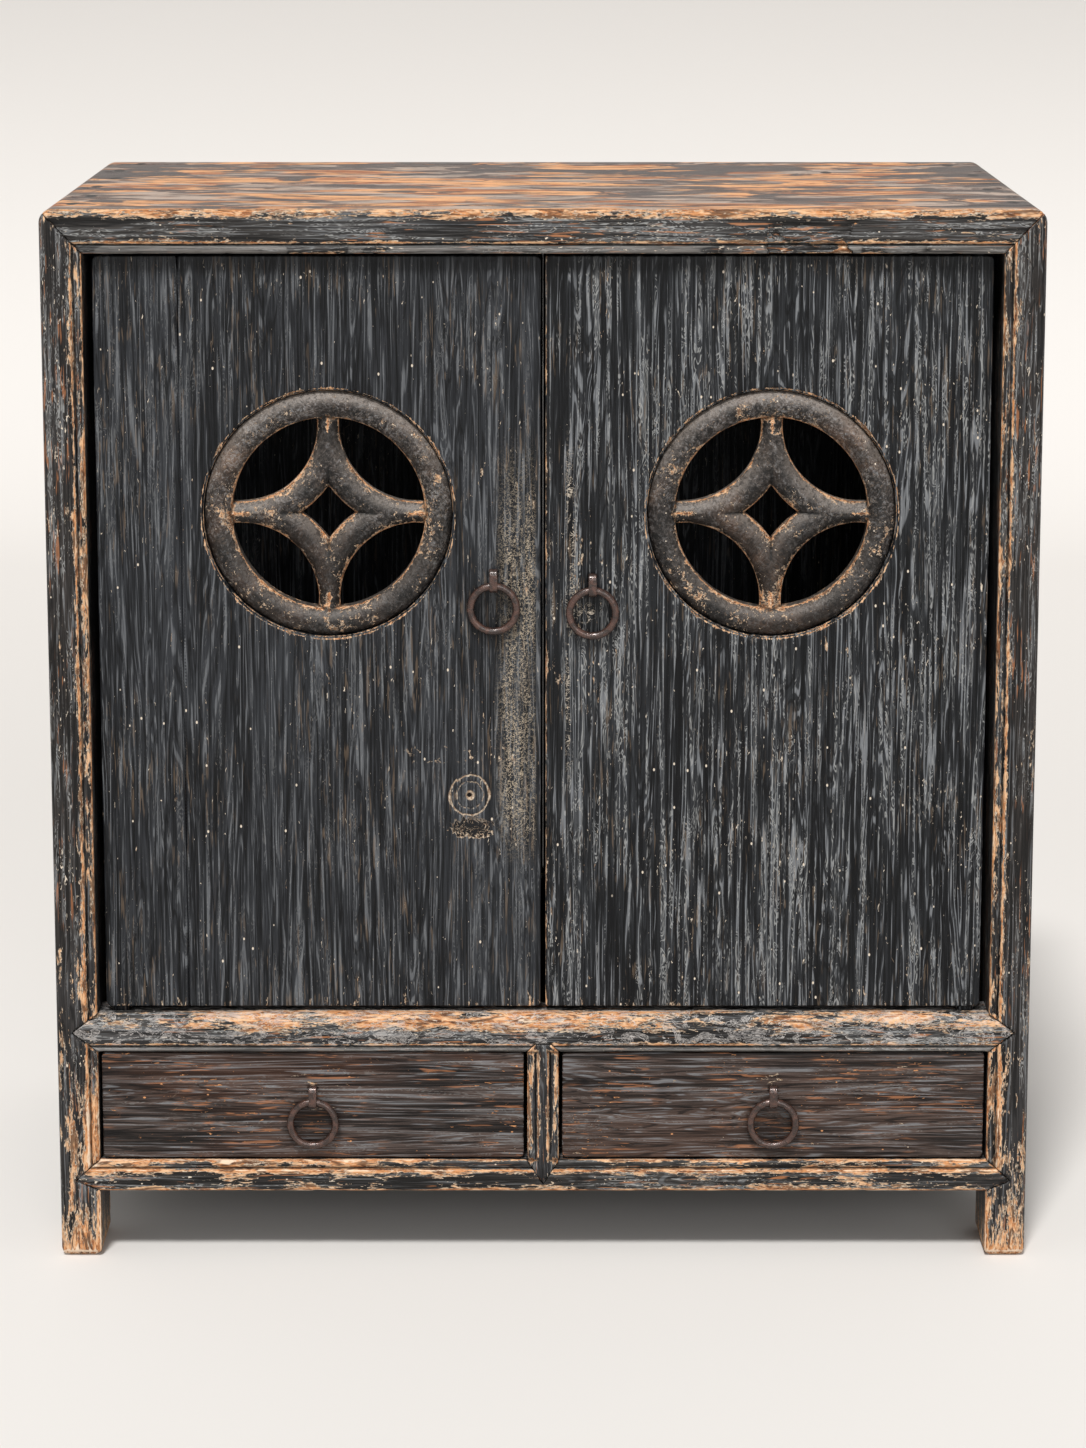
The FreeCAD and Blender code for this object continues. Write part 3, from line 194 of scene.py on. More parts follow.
def others_near(name):
    """Search tree over the other CAD nodes whose boxes touch this node's box."""
    low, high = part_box(name)
    corners, faces = [], []
    for other, item in frame["nodes"].items():
        if other == name:
            continue
        near_low, near_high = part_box(other)
        if any(near_low[i] > high[i] + 2 * MM or near_high[i] < low[i] - 2 * MM for i in range(3)):
            continue
        start = len(corners)
        corners += [v.co.copy() for v in item.data.vertices]
        faces += [tuple(start + i for i in p.vertices) for p in item.data.polygons]
    return BVHTree.FromPolygons(corners, faces) if faces else None


def arris_lines(name, points, triangles):
    """Sampled lines along the free arrises, the joint lines and the inner corners."""
    start, stop, outward, stands_out = sharp_edges(points, triangles)
    tree = others_near(name)
    lines = {"free": [], "joint": [], "inner": []}
    for a, b, out, convex in zip(start, stop, outward, stands_out):
        if not convex:
            lines["inner"].append((a, b))
            continue
        probe = Vector(((a + b) / 2 + out * TOUCH) * MM)
        hit = tree.find_nearest(probe, TOUCH * MM) if tree else None
        touching = hit is not None and hit[0] is not None
        lines["joint" if touching else "free"].append((a, b))
    return lines


class Nearness:
    """Distance from points to a set of line pieces."""

    def __init__(self, lines):
        starts, stops = [], []
        for a, b in lines:
            count = max(1, int(np.linalg.norm(b - a) / SAMPLE_STEP))
            steps = np.linspace(0, 1, count + 1)[:, None]
            knots = a + (b - a) * steps
            starts.append(knots[:-1])
            stops.append(knots[1:])
        self.empty = not starts
        if self.empty:
            return
        self.starts = np.concatenate(starts)
        self.stops = np.concatenate(stops)
        self.tree = KDTree(len(self.starts))
        for index, middle in enumerate((self.starts + self.stops) / 2):
            self.tree.insert(middle, index)
        self.tree.balance()

    def of(self, points):
        """Distance of each point, a large number where there is no line."""
        if self.empty:
            return np.full(len(points), NO_LINE)
        find = self.tree.find
        index = np.fromiter((find(p)[1] for p in points), np.int64, len(points))
        a = self.starts[index]
        along = self.stops[index] - a
        size = np.maximum((along * along).sum(1), 1e-9)
        share = np.clip(((points - a) * along).sum(1) / size, 0, 1)
        return np.linalg.norm(points - a - along * share[:, None], axis=1)


def cut_in_cells(points, triangles):
    """Join flat facets into whole faces, then cut them at planes a cell apart on each axis."""
    shape = bmesh.new()
    corners = [shape.verts.new(point) for point in points]
    for triangle in triangles:
        shape.faces.new([corners[index] for index in triangle])
    bmesh.ops.remove_doubles(shape, verts=shape.verts, dist=NARROW)
    bmesh.ops.dissolve_limit(
        shape, angle_limit=FLAT_ANGLE, verts=shape.verts, edges=shape.edges, use_dissolve_boundaries=False
    )
    longest_first = np.argsort(-np.ptp(points, axis=0))
    for axis in longest_first:
        normal = Vector((axis == 0, axis == 1, axis == 2))
        low, high = points[:, axis].min(), points[:, axis].max()
        count = max(1, round((high - low) / CELL))
        above = shape.verts[:] + shape.edges[:] + shape.faces[:]
        for level in np.linspace(low, high, count + 1)[1:-1]:
            cut = bmesh.ops.bisect_plane(
                shape, geom=above, dist=WELD, plane_co=normal * level, plane_no=normal
            )
            above = [part for part in cut["geom"] if stands_above(part, axis, level)]
    bmesh.ops.triangulate(shape, faces=shape.faces, quad_method="SHORT_EDGE", ngon_method="BEAUTY")
    shape.verts.index_update()
    points = np.array([vertex.co for vertex in shape.verts])
    triangles = np.array([[vertex.index for vertex in face.verts] for face in shape.faces])
    shape.free()
    return points, triangles


def stands_above(part, axis, level):
    """Whether a piece of a mesh reaches above a level."""
    if isinstance(part, bmesh.types.BMVert):
        return part.co[axis] > level - WELD
    return max(vertex.co[axis] for vertex in part.verts) > level + WELD


def weld(points, triangles):
    """Join points that coincide and drop the triangles that this closes."""
    keys = np.round(points / WELD).astype(np.int64)
    _, kept, merged = np.unique(keys, axis=0, return_index=True, return_inverse=True)
    triangles = merged.reshape(-1)[triangles]
    a, b, c = triangles.T
    whole = (a != b) & (b != c) & (c != a)
    return points[kept], triangles[whole]


def refine(points, triangles, reach, near, far):
    """Split long edges until each suits its distance from the arrises."""
    distance = reach(points)
    for _ in range(MOST_ROUNDS):
        rows, edges = sides_of(triangles)
        ends = points[edges[:, 0]], points[edges[:, 1]]
        length = np.linalg.norm(ends[1] - ends[0], axis=1)
        close = np.minimum(distance[edges[:, 0]], distance[edges[:, 1]])
        marked = length > np.minimum(near + SLOPE * close, far)
        if not marked.any():
            break
        side_length = length[rows]
        longest = side_length.argmax(1)
        longest_row = rows[np.arange(len(rows)), longest]
        while True:
            touched = marked[rows].any(1)
            missing = touched & ~marked[longest_row]
            if not missing.any():
                break
            marked[longest_row[missing]] = True
        split = np.flatnonzero(marked)
        middle = (ends[0][split] + ends[1][split]) / 2
        added = np.full(len(edges), -1)
        added[split] = len(points) + np.arange(len(split))
        points = np.concatenate([points, middle])
        distance = np.concatenate([distance, reach(middle)])
        triangles = split_triangles(triangles, rows, longest, added)
    return points, triangles


def split_triangles(triangles, rows, longest, added):
    """Cut each triangle at its split sides, the longest first."""
    turn = (longest[:, None] + np.arange(3)) % 3
    pick = np.arange(len(triangles))[:, None]
    a, b, c = triangles[pick, turn].T
    first, second, third = added[rows][pick, turn].T
    one, two, three = first >= 0, second >= 0, third >= 0
    whole, only, every = ~one, one & ~two & ~three, one & two & three
    and_second, and_third = one & two & ~three, one & ~two & three

    def rows_of(mask, *corners):
        return np.stack([corner[mask] for corner in corners], axis=1)

    parts = [
        rows_of(whole, a, b, c),
        rows_of(only, a, first, c),
        rows_of(only, first, b, c),
        rows_of(and_second, a, first, c),
        rows_of(and_second, first, b, second),
        rows_of(and_second, first, second, c),
        rows_of(and_third, a, first, third),
        rows_of(and_third, first, b, c),
        rows_of(and_third, first, c, third),
        rows_of(every, a, first, third),
        rows_of(every, first, b, second),
        rows_of(every, first, second, c),
        rows_of(every, first, c, third),
    ]
    return np.concatenate(parts)


def smooth(points, edges, weight):
    """Draw points towards the middle of their neighbours, as wear does."""
    count = np.bincount(edges.reshape(-1), minlength=len(points))[:, None]
    for _ in range(RUB_ROUNDS):
        total = np.zeros_like(points)
        for axis in range(3):
            for one, other in (edges.T, edges.T[::-1]):
                total[:, axis] += np.bincount(one, points[other, axis], minlength=len(points))
        points = points + weight[:, None] * (total / np.maximum(count, 1) - points)
    return points


def mesh_object(name, points, triangles, layers):
    """Smooth mesh object with its point values."""
    mesh = bpy.data.meshes.new(name)
    mesh.vertices.add(len(points))
    mesh.vertices.foreach_set("co", (points * MM).astype(np.float32).reshape(-1))
    mesh.loops.add(len(triangles) * 3)
    mesh.loops.foreach_set("vertex_index", triangles.astype(np.int32).reshape(-1))
    mesh.polygons.add(len(triangles))
    mesh.polygons.foreach_set("loop_start", np.arange(0, len(triangles) * 3, 3, dtype=np.int32))
    mesh.update(calc_edges=True)
    mesh.validate()
    mesh.shade_smooth()
    mesh.set_sharp_from_angle(angle=math.radians(SHADE_ANGLE))
    for layer, values in layers.items():
        made = mesh.attributes.new(layer, "FLOAT", "POINT")
        made.data.foreach_set("value", values.astype(np.float32))
    item = bpy.data.objects.new(name, mesh)
    bpy.context.scene.collection.objects.link(item)
    return item


def body_of(node):
    """Name of the moving body that a node belongs to."""
    bodies = frame["record"]["behaviour"]["bodies"]
    return next(body for body, nodes in bodies.items() if node in nodes)


def worn(node, material, near=1.5, far=10, rounding=1.0, nick=0.8, exposure=None,
         shape=None, focus=None, seed=0, bow=0.12):
    """Worn copy of a CAD node: arrises rubbed round and nicked, faces a little uneven."""
    points, triangles = read_node(node)
    lines = arris_lines(node, points, triangles)
    free, joint, inner = (Nearness(lines[kind]) for kind in ("free", "joint", "inner"))

    def reach(places):
        seam = joint.of(places) + (JOINT_NEAR - near) / SLOPE
        distance = np.minimum(free.of(places), seam)
        return np.minimum(distance, focus(places)) if focus else distance

    points, triangles = cut_in_cells(points, triangles)
    points, triangles = refine(points, triangles, reach, near, far)
    low, high = points.min(0), points.max(0)
    to_free, to_joint, to_inner = (lines.of(points) for lines in (free, joint, inner))
    _, edges = sides_of(triangles)
    patchy = 0.62 + 0.38 * noise(points, 21, seed + 5)
    rub = np.clip(1 - to_free / RUB_WIDTH, 0, 1) * patchy * rounding
    rub = np.maximum(rub, 0.25 * np.clip(1 - to_joint / JOINT_RUB_WIDTH, 0, 1))
    points = smooth(points, edges, np.clip(rub, 0, 1) * 0.75)
    normals = point_normals(points, triangles)
    chips = ease(0.18, 0.75, rough_noise(points, 7.5, seed + 11, 2))
    depth = nick * chips * np.exp(-to_free / 2.4)
    depth += bow * (0.5 + 0.5 * noise(points, 38, seed + 23)) * np.clip(to_joint / 4, 0, 1)
    points = points - normals * depth[:, None]
    if shape:
        points = shape(points, normals)
    points = np.clip(points, low, high)
    wear = exposure(points, normals) if exposure else np.zeros(len(points))
    layers = {"arris": to_free, "inner": to_inner, "wear": wear}
    finish_piece(mesh_object(f"worn_{node}", points, triangles, layers), node, material)


def finish_piece(item, node, material):
    """Give a piece its material and its body, and hide the CAD node that it stands for."""
    item.data.materials.append(material)
    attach(item, body_of(node))
    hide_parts(node)


# Materials


def linear(red, green, blue):
    """Colour given as it looks on a screen, 0 to 255, as light values."""
    shares = (value / 255 for value in (red, green, blue))
    return (*[s / 12.92 if s < 0.04045 else ((s + 0.055) / 1.055) ** 2.4 for s in shares], 1)


class Graph:
    """Short ways to make the nodes of one material."""

    def __init__(self, name):
        self.material = bpy.data.materials.new(name)
        self.material.use_nodes = True
        self.tree = self.material.node_tree
        self.tree.nodes.clear()
        self.coordinates = self.node("ShaderNodeTexCoord").outputs["Object"]

    def node(self, kind, inputs=(), **settings):
        """New node with its own settings and its inputs, by name or number, set or linked."""
        made = self.tree.nodes.new(kind)
        for key, value in settings.items():
            setattr(made, key, value)
        for key, value in dict(inputs).items():
            if isinstance(value, bpy.types.NodeSocket):
                self.tree.links.new(value, made.inputs[key])
            else:
                made.inputs[key].default_value = value
        return made

    def stretched(self, scale, lean=0):
        """Object coordinates, leaned in the front plane and scaled along each axis."""
        vector = self.coordinates
        if lean:
            angle = {"Vector": vector, "Angle": math.radians(lean)}
            vector = self.node("ShaderNodeVectorRotate", angle, rotation_type="Y_AXIS").outputs[0]
        return self.node("ShaderNodeVectorMath", {0: vector, 1: scale}, operation="MULTIPLY").outputs[0]

    def noise(self, scale, detail, rough, warp, shift=None):
        """Noise value; scale is per metre along each axis."""
        vector = self.stretched(scale)
        if shift is not None:
            vector = self.node("ShaderNodeVectorMath", {0: vector, 1: shift}, operation="ADD").outputs[0]
        inputs = {"Vector": vector, "Scale": 1.0, "Detail": detail, "Roughness": rough, "Distortion": warp}
        return self.node("ShaderNodeTexNoise", inputs).outputs["Fac"]

    def dots(self, scale, radius, share, lean=0):
        """Small spots, long where the scale is small, in a share of the cells of a pattern."""
        cells = self.node("ShaderNodeTexVoronoi", {"Vector": self.stretched(scale, lean), "Scale": 1.0})
        lot = self.node("ShaderNodeSeparateColor", {0: cells.outputs["Color"]})
        size = self.times(lot.outputs[1], radius)
        spot = self.ease(self.minus(cells.outputs["Distance"], size), 0.0, -0.4 * radius)
        return self.times(spot, self.ease(lot.outputs[0], share, share - 0.02))

    def contour(self, value, level, width):
        """Thin line where a value passes a level."""
        off = self.size(self.minus(value, level))
        return self.ease(off, width, 0.3 * width)

    def total(self, *terms):
        """Sum of values, each with its share."""
        result = 0.0
        for value, share in terms:
            result = self.plus(self.times(value, share), result)
        return result

    def shaded(self, colour, shade):
        """Colour times a grey value."""
        grey = self.node("ShaderNodeCombineColor", {0: shade, 1: shade, 2: shade}).outputs[0]
        inputs = {0: 1.0, 6: colour, 7: grey}
        return self.node("ShaderNodeMix", inputs, data_type="RGBA", blend_type="MULTIPLY").outputs[2]

    def layer(self, name):
        """Point value that the mesh carries."""
        return self.node("ShaderNodeAttribute", attribute_name=name).outputs["Fac"]

    def calculate(self, operation, a, b=0.0):
        """Result of one operation."""
        return self.node("ShaderNodeMath", {0: a, 1: b}, operation=operation).outputs[0]

    plus = partialmethod(calculate, "ADD")
    minus = partialmethod(calculate, "SUBTRACT")
    times = partialmethod(calculate, "MULTIPLY")
    most = partialmethod(calculate, "MAXIMUM")
    size = partialmethod(calculate, "ABSOLUTE")

    def length(self, a, b):
        """Length of a flat step."""
        return self.calculate("SQRT", self.plus(self.times(a, a), self.times(b, b)))

    def ease(self, value, low, high, to_low=0.0, to_high=1.0):
        """Smooth step of a value."""
        inputs = {"Value": value, "From Min": low, "From Max": high, "To Min": to_low, "To Max": to_high}
        return self.node("ShaderNodeMapRange", inputs, interpolation_type="SMOOTHSTEP").outputs["Result"]

    def mix(self, share, a, b):
        """Blend of two colours."""
        return self.node("ShaderNodeMix", {0: share, 6: a, 7: b}, data_type="RGBA").outputs[2]

    def part(self, vector, axis):
        """One part of a vector."""
        return self.node("ShaderNodeSeparateXYZ", {0: vector}).outputs[axis]

    def facing_up(self, low, high):
        """How far the surface faces upwards, 0 to 1 between two heights of its normal."""
        normal = self.node("ShaderNodeNewGeometry").outputs["Normal"]
        return self.ease(self.part(normal, 2), low, high)

    def place(self, axis):
        """Object coordinate along one axis, in metres."""
        return self.part(self.coordinates, axis)

    def surface(self, colour, roughness, height, depth, gloss, metallic=0.0):
        """Close the material with a surface and its relief."""
        bump = self.node("ShaderNodeBump", {"Height": height, "Distance": depth})
        shader = self.node("ShaderNodeBsdfPrincipled", {
            "Base Color": colour, "Roughness": roughness, "Metallic": metallic,
            "Specular IOR Level": gloss, "Normal": bump.outputs[0]})
        self.node("ShaderNodeOutputMaterial", {"Surface": shader.outputs[0]})
        return self.material


def along(axis, across, lengthways):
    """Scale per metre across the grain and along it, for grain along an axis."""
    return tuple(lengthways if i == axis else across for i in range(3))


GRAIN = {  # per metre across the grain and along it, detail, roughness and warp of each noise
    "broad": (12, 3, 3, 0.55, 0.5),
    "bands": (75, 3, 2, 0.55, 0.4),
    "streak": (290, 8, 4, 0.64, 0.5),
    "fine": (640, 18, 3, 0.64, 0.3),
    "grit": (620, 280, 3, 0.7, 0.4),
    "lumps": (85, 17, 4, 0.6, 0.8),
    "flakes": (300, 70, 3, 0.6, 1.0),
    "chips": (560, 130, 2, 0.6, 0.9),
    "crowd": (13, 13, 2, 0.5, 0.3),
    "shapes": (170, 30, 2, 0.55, 1.4),
    "dashes": (400, 26, 2, 0.6, 0.4),
    "swell": (34, 1.8, 3, 0.5, 0.7),
}


class Grain:
    """Noise values that run along the grain of one piece of timber."""

    def __init__(self, g, axis, seed):
        self.g = g
        self.shift = (seed, seed * 1.7, seed * 2.3)
        for name, (across, lengthways, *manner) in GRAIN.items():
            setattr(self, name, self.noise(along(axis, across, lengthways), *manner))
        self.torn = self.noise((130, 130, 150), 3, 0.6, 1.2)
        self.rings = g.calculate("SINE", g.times(self.swell, 2 * math.pi * GRAIN_LINES))

    def noise(self, scale, detail, rough, warp):
        """Noise of this piece alone."""
        return self.g.noise(scale, detail, rough, warp, self.shift)


def dark_skin(g, grain, look):
    """Lacquer that is still whole: dark bands, pale lines along the grain, a few scratches."""
    band = g.total((grain.bands, 0.24), (grain.streak, 0.46), (grain.fine, 0.3))
    spread = 0.11 / look["contrast"]
    colour = g.mix(g.ease(band, 0.5 - spread, 0.5 + spread), look["dark"], look["light"])
    colour = g.mix(g.ease(grain.broad, 0.45, 0.7, 0.0, look["haze_share"]), colour, look["haze"])
    # raised grain lines that catch the light where the lacquer is thin
    crest = g.times(g.ease(grain.rings, 0.45, 0.95), g.ease(grain.streak, 0.46, 0.56))
    colour = g.mix(g.times(crest, look["line_share"]), colour, linear(134, 137, 141))
    trough = g.times(g.ease(grain.rings, -0.6, -0.97), g.ease(grain.streak, 0.6, 0.5))
    colour = g.mix(g.times(trough, 0.7), colour, linear(9, 9, 10))
    # broken outlines of old flakes, in clusters
    outline = g.most(g.contour(grain.shapes, 0.46, 0.03), g.contour(grain.shapes, 0.56, 0.026))
    broken = g.ease(g.total((grain.bands, 0.2), (grain.streak, 0.6), (grain.crowd, 0.2)), 0.5, 0.57)
    outline = g.times(g.times(outline, broken), look["outline_share"])
    colour = g.mix(outline, colour, linear(160, 161, 160))
    # short dashes of thin lacquer along the grain
    dash = g.times(g.ease(grain.dashes, 0.6, 0.66), g.ease(grain.crowd, 0.42, 0.56))
    colour = g.mix(g.times(dash, look["dash_share"]), colour, look["dash_tint"])
    # knocks at odd angles
    knock = g.dots((560, 560, 48), 0.24, 0.011, 28)
    knock = g.most(knock, g.dots((600, 600, 60), 0.24, 0.01, -52))
    return g.mix(g.times(knock, 0.75), colour, linear(176, 154, 130))


def bare_streaks(g, grain):
    """Bare timber: orange brown to umber, with dark grain lines and pale fibres."""
    lines = g.total((grain.fine, 0.6), (grain.grit, 0.4))
    colour = g.mix(g.ease(lines, 0.4, 0.58), linear(134, 84, 54), linear(212, 148, 98))
    colour = g.mix(g.ease(grain.flakes, 0.46, 0.62, 0.0, 0.75), colour, linear(234, 194, 154))
    umber = g.ease(g.total((grain.shapes, 0.6), (grain.lumps, 0.4)), 0.52, 0.58, 0.0, 0.8)
    colour = g.mix(umber, colour, linear(66, 46, 36))
    return g.mix(g.ease(lines, 0.41, 0.33), colour, linear(46, 28, 20))


def top_face(g, grain):
    """Upper face: lacquer gone in long patches, timber greyed and dashed with dark pores."""
    front = g.ease(g.place(1), -0.25, 0.2, 0.05, 0.01)
    side = g.size(g.place(0))
    corner = g.ease(side, 0.3, 0.42, 0.0, -0.07)
    patches = grain.noise((8, 19, 19), 5, 0.64, 0.6)
    open_share = g.plus(g.plus(patches, front), corner)
    warm = g.mix(g.ease(grain.noise((12, 46, 46), 4, 0.66, 0.5), 0.42, 0.56),
                 linear(160, 94, 52), linear(232, 170, 116))
    ash = g.mix(g.ease(grain.noise((11, 42, 42), 4, 0.66, 0.5), 0.44, 0.56),
                linear(96, 84, 78), linear(182, 162, 148))
    worn = g.mix(g.ease(grain.noise((6.5, 20, 20), 4, 0.6, 0.4), 0.47, 0.54), warm, ash)
    pores = g.ease(grain.noise((13, 75, 75), 4, 0.66, 0.6), 0.56, 0.61)
    worn = g.mix(g.times(pores, 0.85), worn, linear(70, 50, 42))
    dark = g.mix(g.ease(grain.fine, 0.4, 0.62), linear(44, 41, 42), linear(104, 94, 90))
    skin = g.mix(g.ease(open_share, 0.465, 0.505), dark, worn)
    skin = g.mix(g.times(g.contour(open_share, 0.465, 0.016), 0.5), skin, linear(92, 56, 38))
    for x, y in NAIL_SLOTS:
        across = g.times(g.minus(g.place(0), x * MM), 1 / (SLOT_WIDTH * MM))
        deep = g.times(g.minus(g.place(1), y * MM), 1 / (SLOT_LENGTH * MM))
        off = g.plus(g.times(across, across), g.times(deep, deep))
        off = g.plus(off, g.minus(grain.flakes, 0.5))
        skin = g.mix(g.ease(off, 1.0, 0.6), skin, linear(20, 16, 15))
    return skin


NAIL_SLOTS = [(-391, 232), (-404, 150), (-398, 62), (-405, -30), (-399, -128), (-407, -205),
              (392, 214), (404, 96), (268, 128), (401, -60), (408, -190)]
SLOT_WIDTH = 6
SLOT_LENGTH = 13


LOOK = dict(
    dark=linear(12, 13, 15), light=linear(54, 56, 60), haze=linear(68, 71, 76), haze_share=0.25,
    contrast=1.0, line_share=0.4, outline_share=0.2, dash_share=0.3,
    dash_tint=linear(140, 120, 100), wear_width=1.6, wear_gain=1.0, specks=0.5,
    speck_tint=linear(222, 208, 190), gloss=0.15,
)


RAGGED = {"lumps": 1.9, "flakes": 1.6, "chips": 0.9}


def lacquer(name, axis, seed, extra=None, **changes):
    """Black lacquer over timber, rubbed through at the arrises and where it is handled."""
    look = {**LOOK, **changes}
    g = Graph(name)
    grain = Grain(g, axis, seed)
    colour = dark_skin(g, grain, look)
    # small chips, crowded in some places, and rounder dents
    limit = g.ease(grain.crowd, 0.36, 0.66, 0.745, 0.745 - 0.11 * look["specks"])
    chip = g.ease(g.minus(grain.chips, limit), 0.0, 0.035)
    dent = g.dots(along(axis, 105, 70), 0.12, 0.12 + 0.4 * look["specks"])
    speck = g.most(chip, dent)
    # partly rubbed lacquer, partly a painted sheen: pale grey where the wear layer is negative, for the
    # gloss along the beads
    painted_sheen = g.ease(g.layer("wear"), -0.2, -0.44)
    rubbed = g.times(painted_sheen, g.ease(grain.fine, 0.36, 0.6, 0.15, 0.6))
    colour = g.mix(rubbed, colour, linear(146, 142, 138))
    colour = g.mix(speck, colour, look["speck_tint"])
    # wear from the arrises inwards
    reach = g.calculate("POWER", math.e, g.times(g.layer("arris"), -1 / look["wear_width"]))
    ragged = g.total(*[(getattr(grain, name), share) for name, share in RAGGED.items()])
    ragged = g.minus(ragged, 0.5 * sum(RAGGED.values()))
    bare = g.plus(g.total((reach, look["wear_gain"]), (g.layer("wear"), 1.0)), ragged)
    through = g.ease(bare, 0.6, 0.67)
    inside = g.ease(bare, 0.72, 0.84)
    timber = g.mix(g.ease(bare, 1.2, 1.65, 0.0, 0.85), bare_streaks(g, grain), linear(238, 214, 188))
    rim = g.mix(g.ease(grain.grit, 0.42, 0.6), linear(148, 122, 100), linear(214, 196, 174))
    timber = g.mix(inside, rim, timber)
    if extra:
        colour, through, timber = extra(g, grain, colour, through, timber)
    up = g.times(g.facing_up(0.45, 0.85), g.ease(g.place(2), 0.905, 0.925))
    colour = g.mix(up, colour, top_face(g, grain))
    colour = g.mix(through, colour, timber)
    # painted shade: darker towards inner corners
    colour = g.shaded(colour, g.ease(g.layer("inner"), 0.0, 2.6, 0.2, 1.0))
    height = g.total(
        (grain.fine, 0.34), (grain.streak, 0.3), (grain.grit, 0.14), (grain.rings, 0.03),
        (grain.shapes, 0.3), (through, -0.26), (speck, -0.3), (inside, -0.14),
    )
    roughness = g.ease(through, 0, 1, 0.38, 0.72)
    return g.surface(colour, roughness, height, 0.0012, gloss=look["gloss"])


def bare_wood(name, axis, seed):
    """Timber of the inside and the drawers' linings, painted near-black as the shade inside the cabinet."""
    g = Graph(name)
    grain = Grain(g, axis, seed)
    blot = grain.noise((14, 14, 14), 4, 0.6, 0.6)
    colour = g.mix(g.ease(grain.streak, 0.38, 0.62), linear(26, 19, 15), linear(46, 33, 25))
    colour = g.mix(g.times(g.ease(grain.fine, 0.5, 0.72), 0.6), colour, linear(18, 13, 11))
    colour = g.mix(g.times(g.ease(blot, 0.52, 0.75), 0.5), colour, linear(17, 14, 12))
    height = g.total((grain.fine, 1.0), (grain.streak, 0.6))
    return g.surface(colour, 0.8, height, 0.0008, gloss=0.2)


def iron(name):
    """Wrought iron with a brown rust patina, rubbed bright where it is touched."""
    g = Graph(name)
    blot = g.noise((150, 150, 150), 4, 0.65, 0.8)
    pits = g.noise((900, 900, 900), 3, 0.7, 0.5)
    colour = g.mix(g.ease(blot, 0.38, 0.66), linear(46, 32, 27), linear(88, 60, 50))
    colour = g.mix(g.ease(pits, 0.56, 0.7, 0, 0.5), colour, linear(30, 23, 21))
    rubbed = g.ease(g.total((g.layer("wear"), 1.0), (pits, 0.5)), 0.62, 1.0)
    colour = g.mix(g.times(rubbed, 0.35), colour, linear(196, 160, 144))
    roughness = g.ease(pits, 0.35, 0.7, 0.15, 0.35)
    height = g.total((pits, 0.6), (blot, 0.8))
    return g.surface(colour, roughness, height, 0.00025, metallic=0.3, gloss=0.8)


# Places on the front: how far across and how high, in metres
DOOR_PULL = (0.043, 0.584)
DRAWER_PULL = (0.204, 0.1225)
SCRATCHES = (0.037, 0.583)
SHADE_TOP, SHADE_FOOT = 0.8945, 0.868
# Heights from the lost lock plate's middle, in millimetres
PATCH_DROP, SMEAR_LEVEL = 29.0, 37.0

DRAWER_LOOK = dict(
    dark=linear(22, 19, 18), light=linear(84, 72, 67), haze_share=0.3, line_share=0.55,
    contrast=1.3, outline_share=0.25, dash_share=0.7, dash_tint=linear(166, 112, 78), specks=0.8,
    wear_width=2.0, wear_gain=0.95, speck_tint=linear(206, 146, 100),
)


FRAME_LOOK = dict(dark=linear(19, 17, 16), specks=0.9, gloss=0.2)


def ring_painted_shadow(g, colour, across, height):
    """Painted shadow of a pull ring: lacquer darker inside and round the ring, on both halves of the front.
    """
    side = g.minus(g.size(g.place(0)), across)
    above = g.minus(g.place(2), height)
    return g.shaded(colour, g.ease(g.length(side, above), 0.019, 0.031, 0.5, 1.0))


def door_shadow(g, colour):
    """Painted shade under the top rail and painted shadow round the pulls."""
    colour = ring_painted_shadow(g, colour, DOOR_PULL[0], DOOR_PULL[1])
    # painted shade: darker towards the top of the door, below the top rail
    return g.shaded(colour, g.ease(g.place(2), SHADE_TOP, SHADE_FOOT, 0.34, 1.0))


def drawer_ring_shadow(g, grain, colour, through, timber):
    """Drawer fronts: painted shadow round and behind the pull ring."""
    return ring_painted_shadow(g, colour, DRAWER_PULL[0], DRAWER_PULL[1]), through, timber


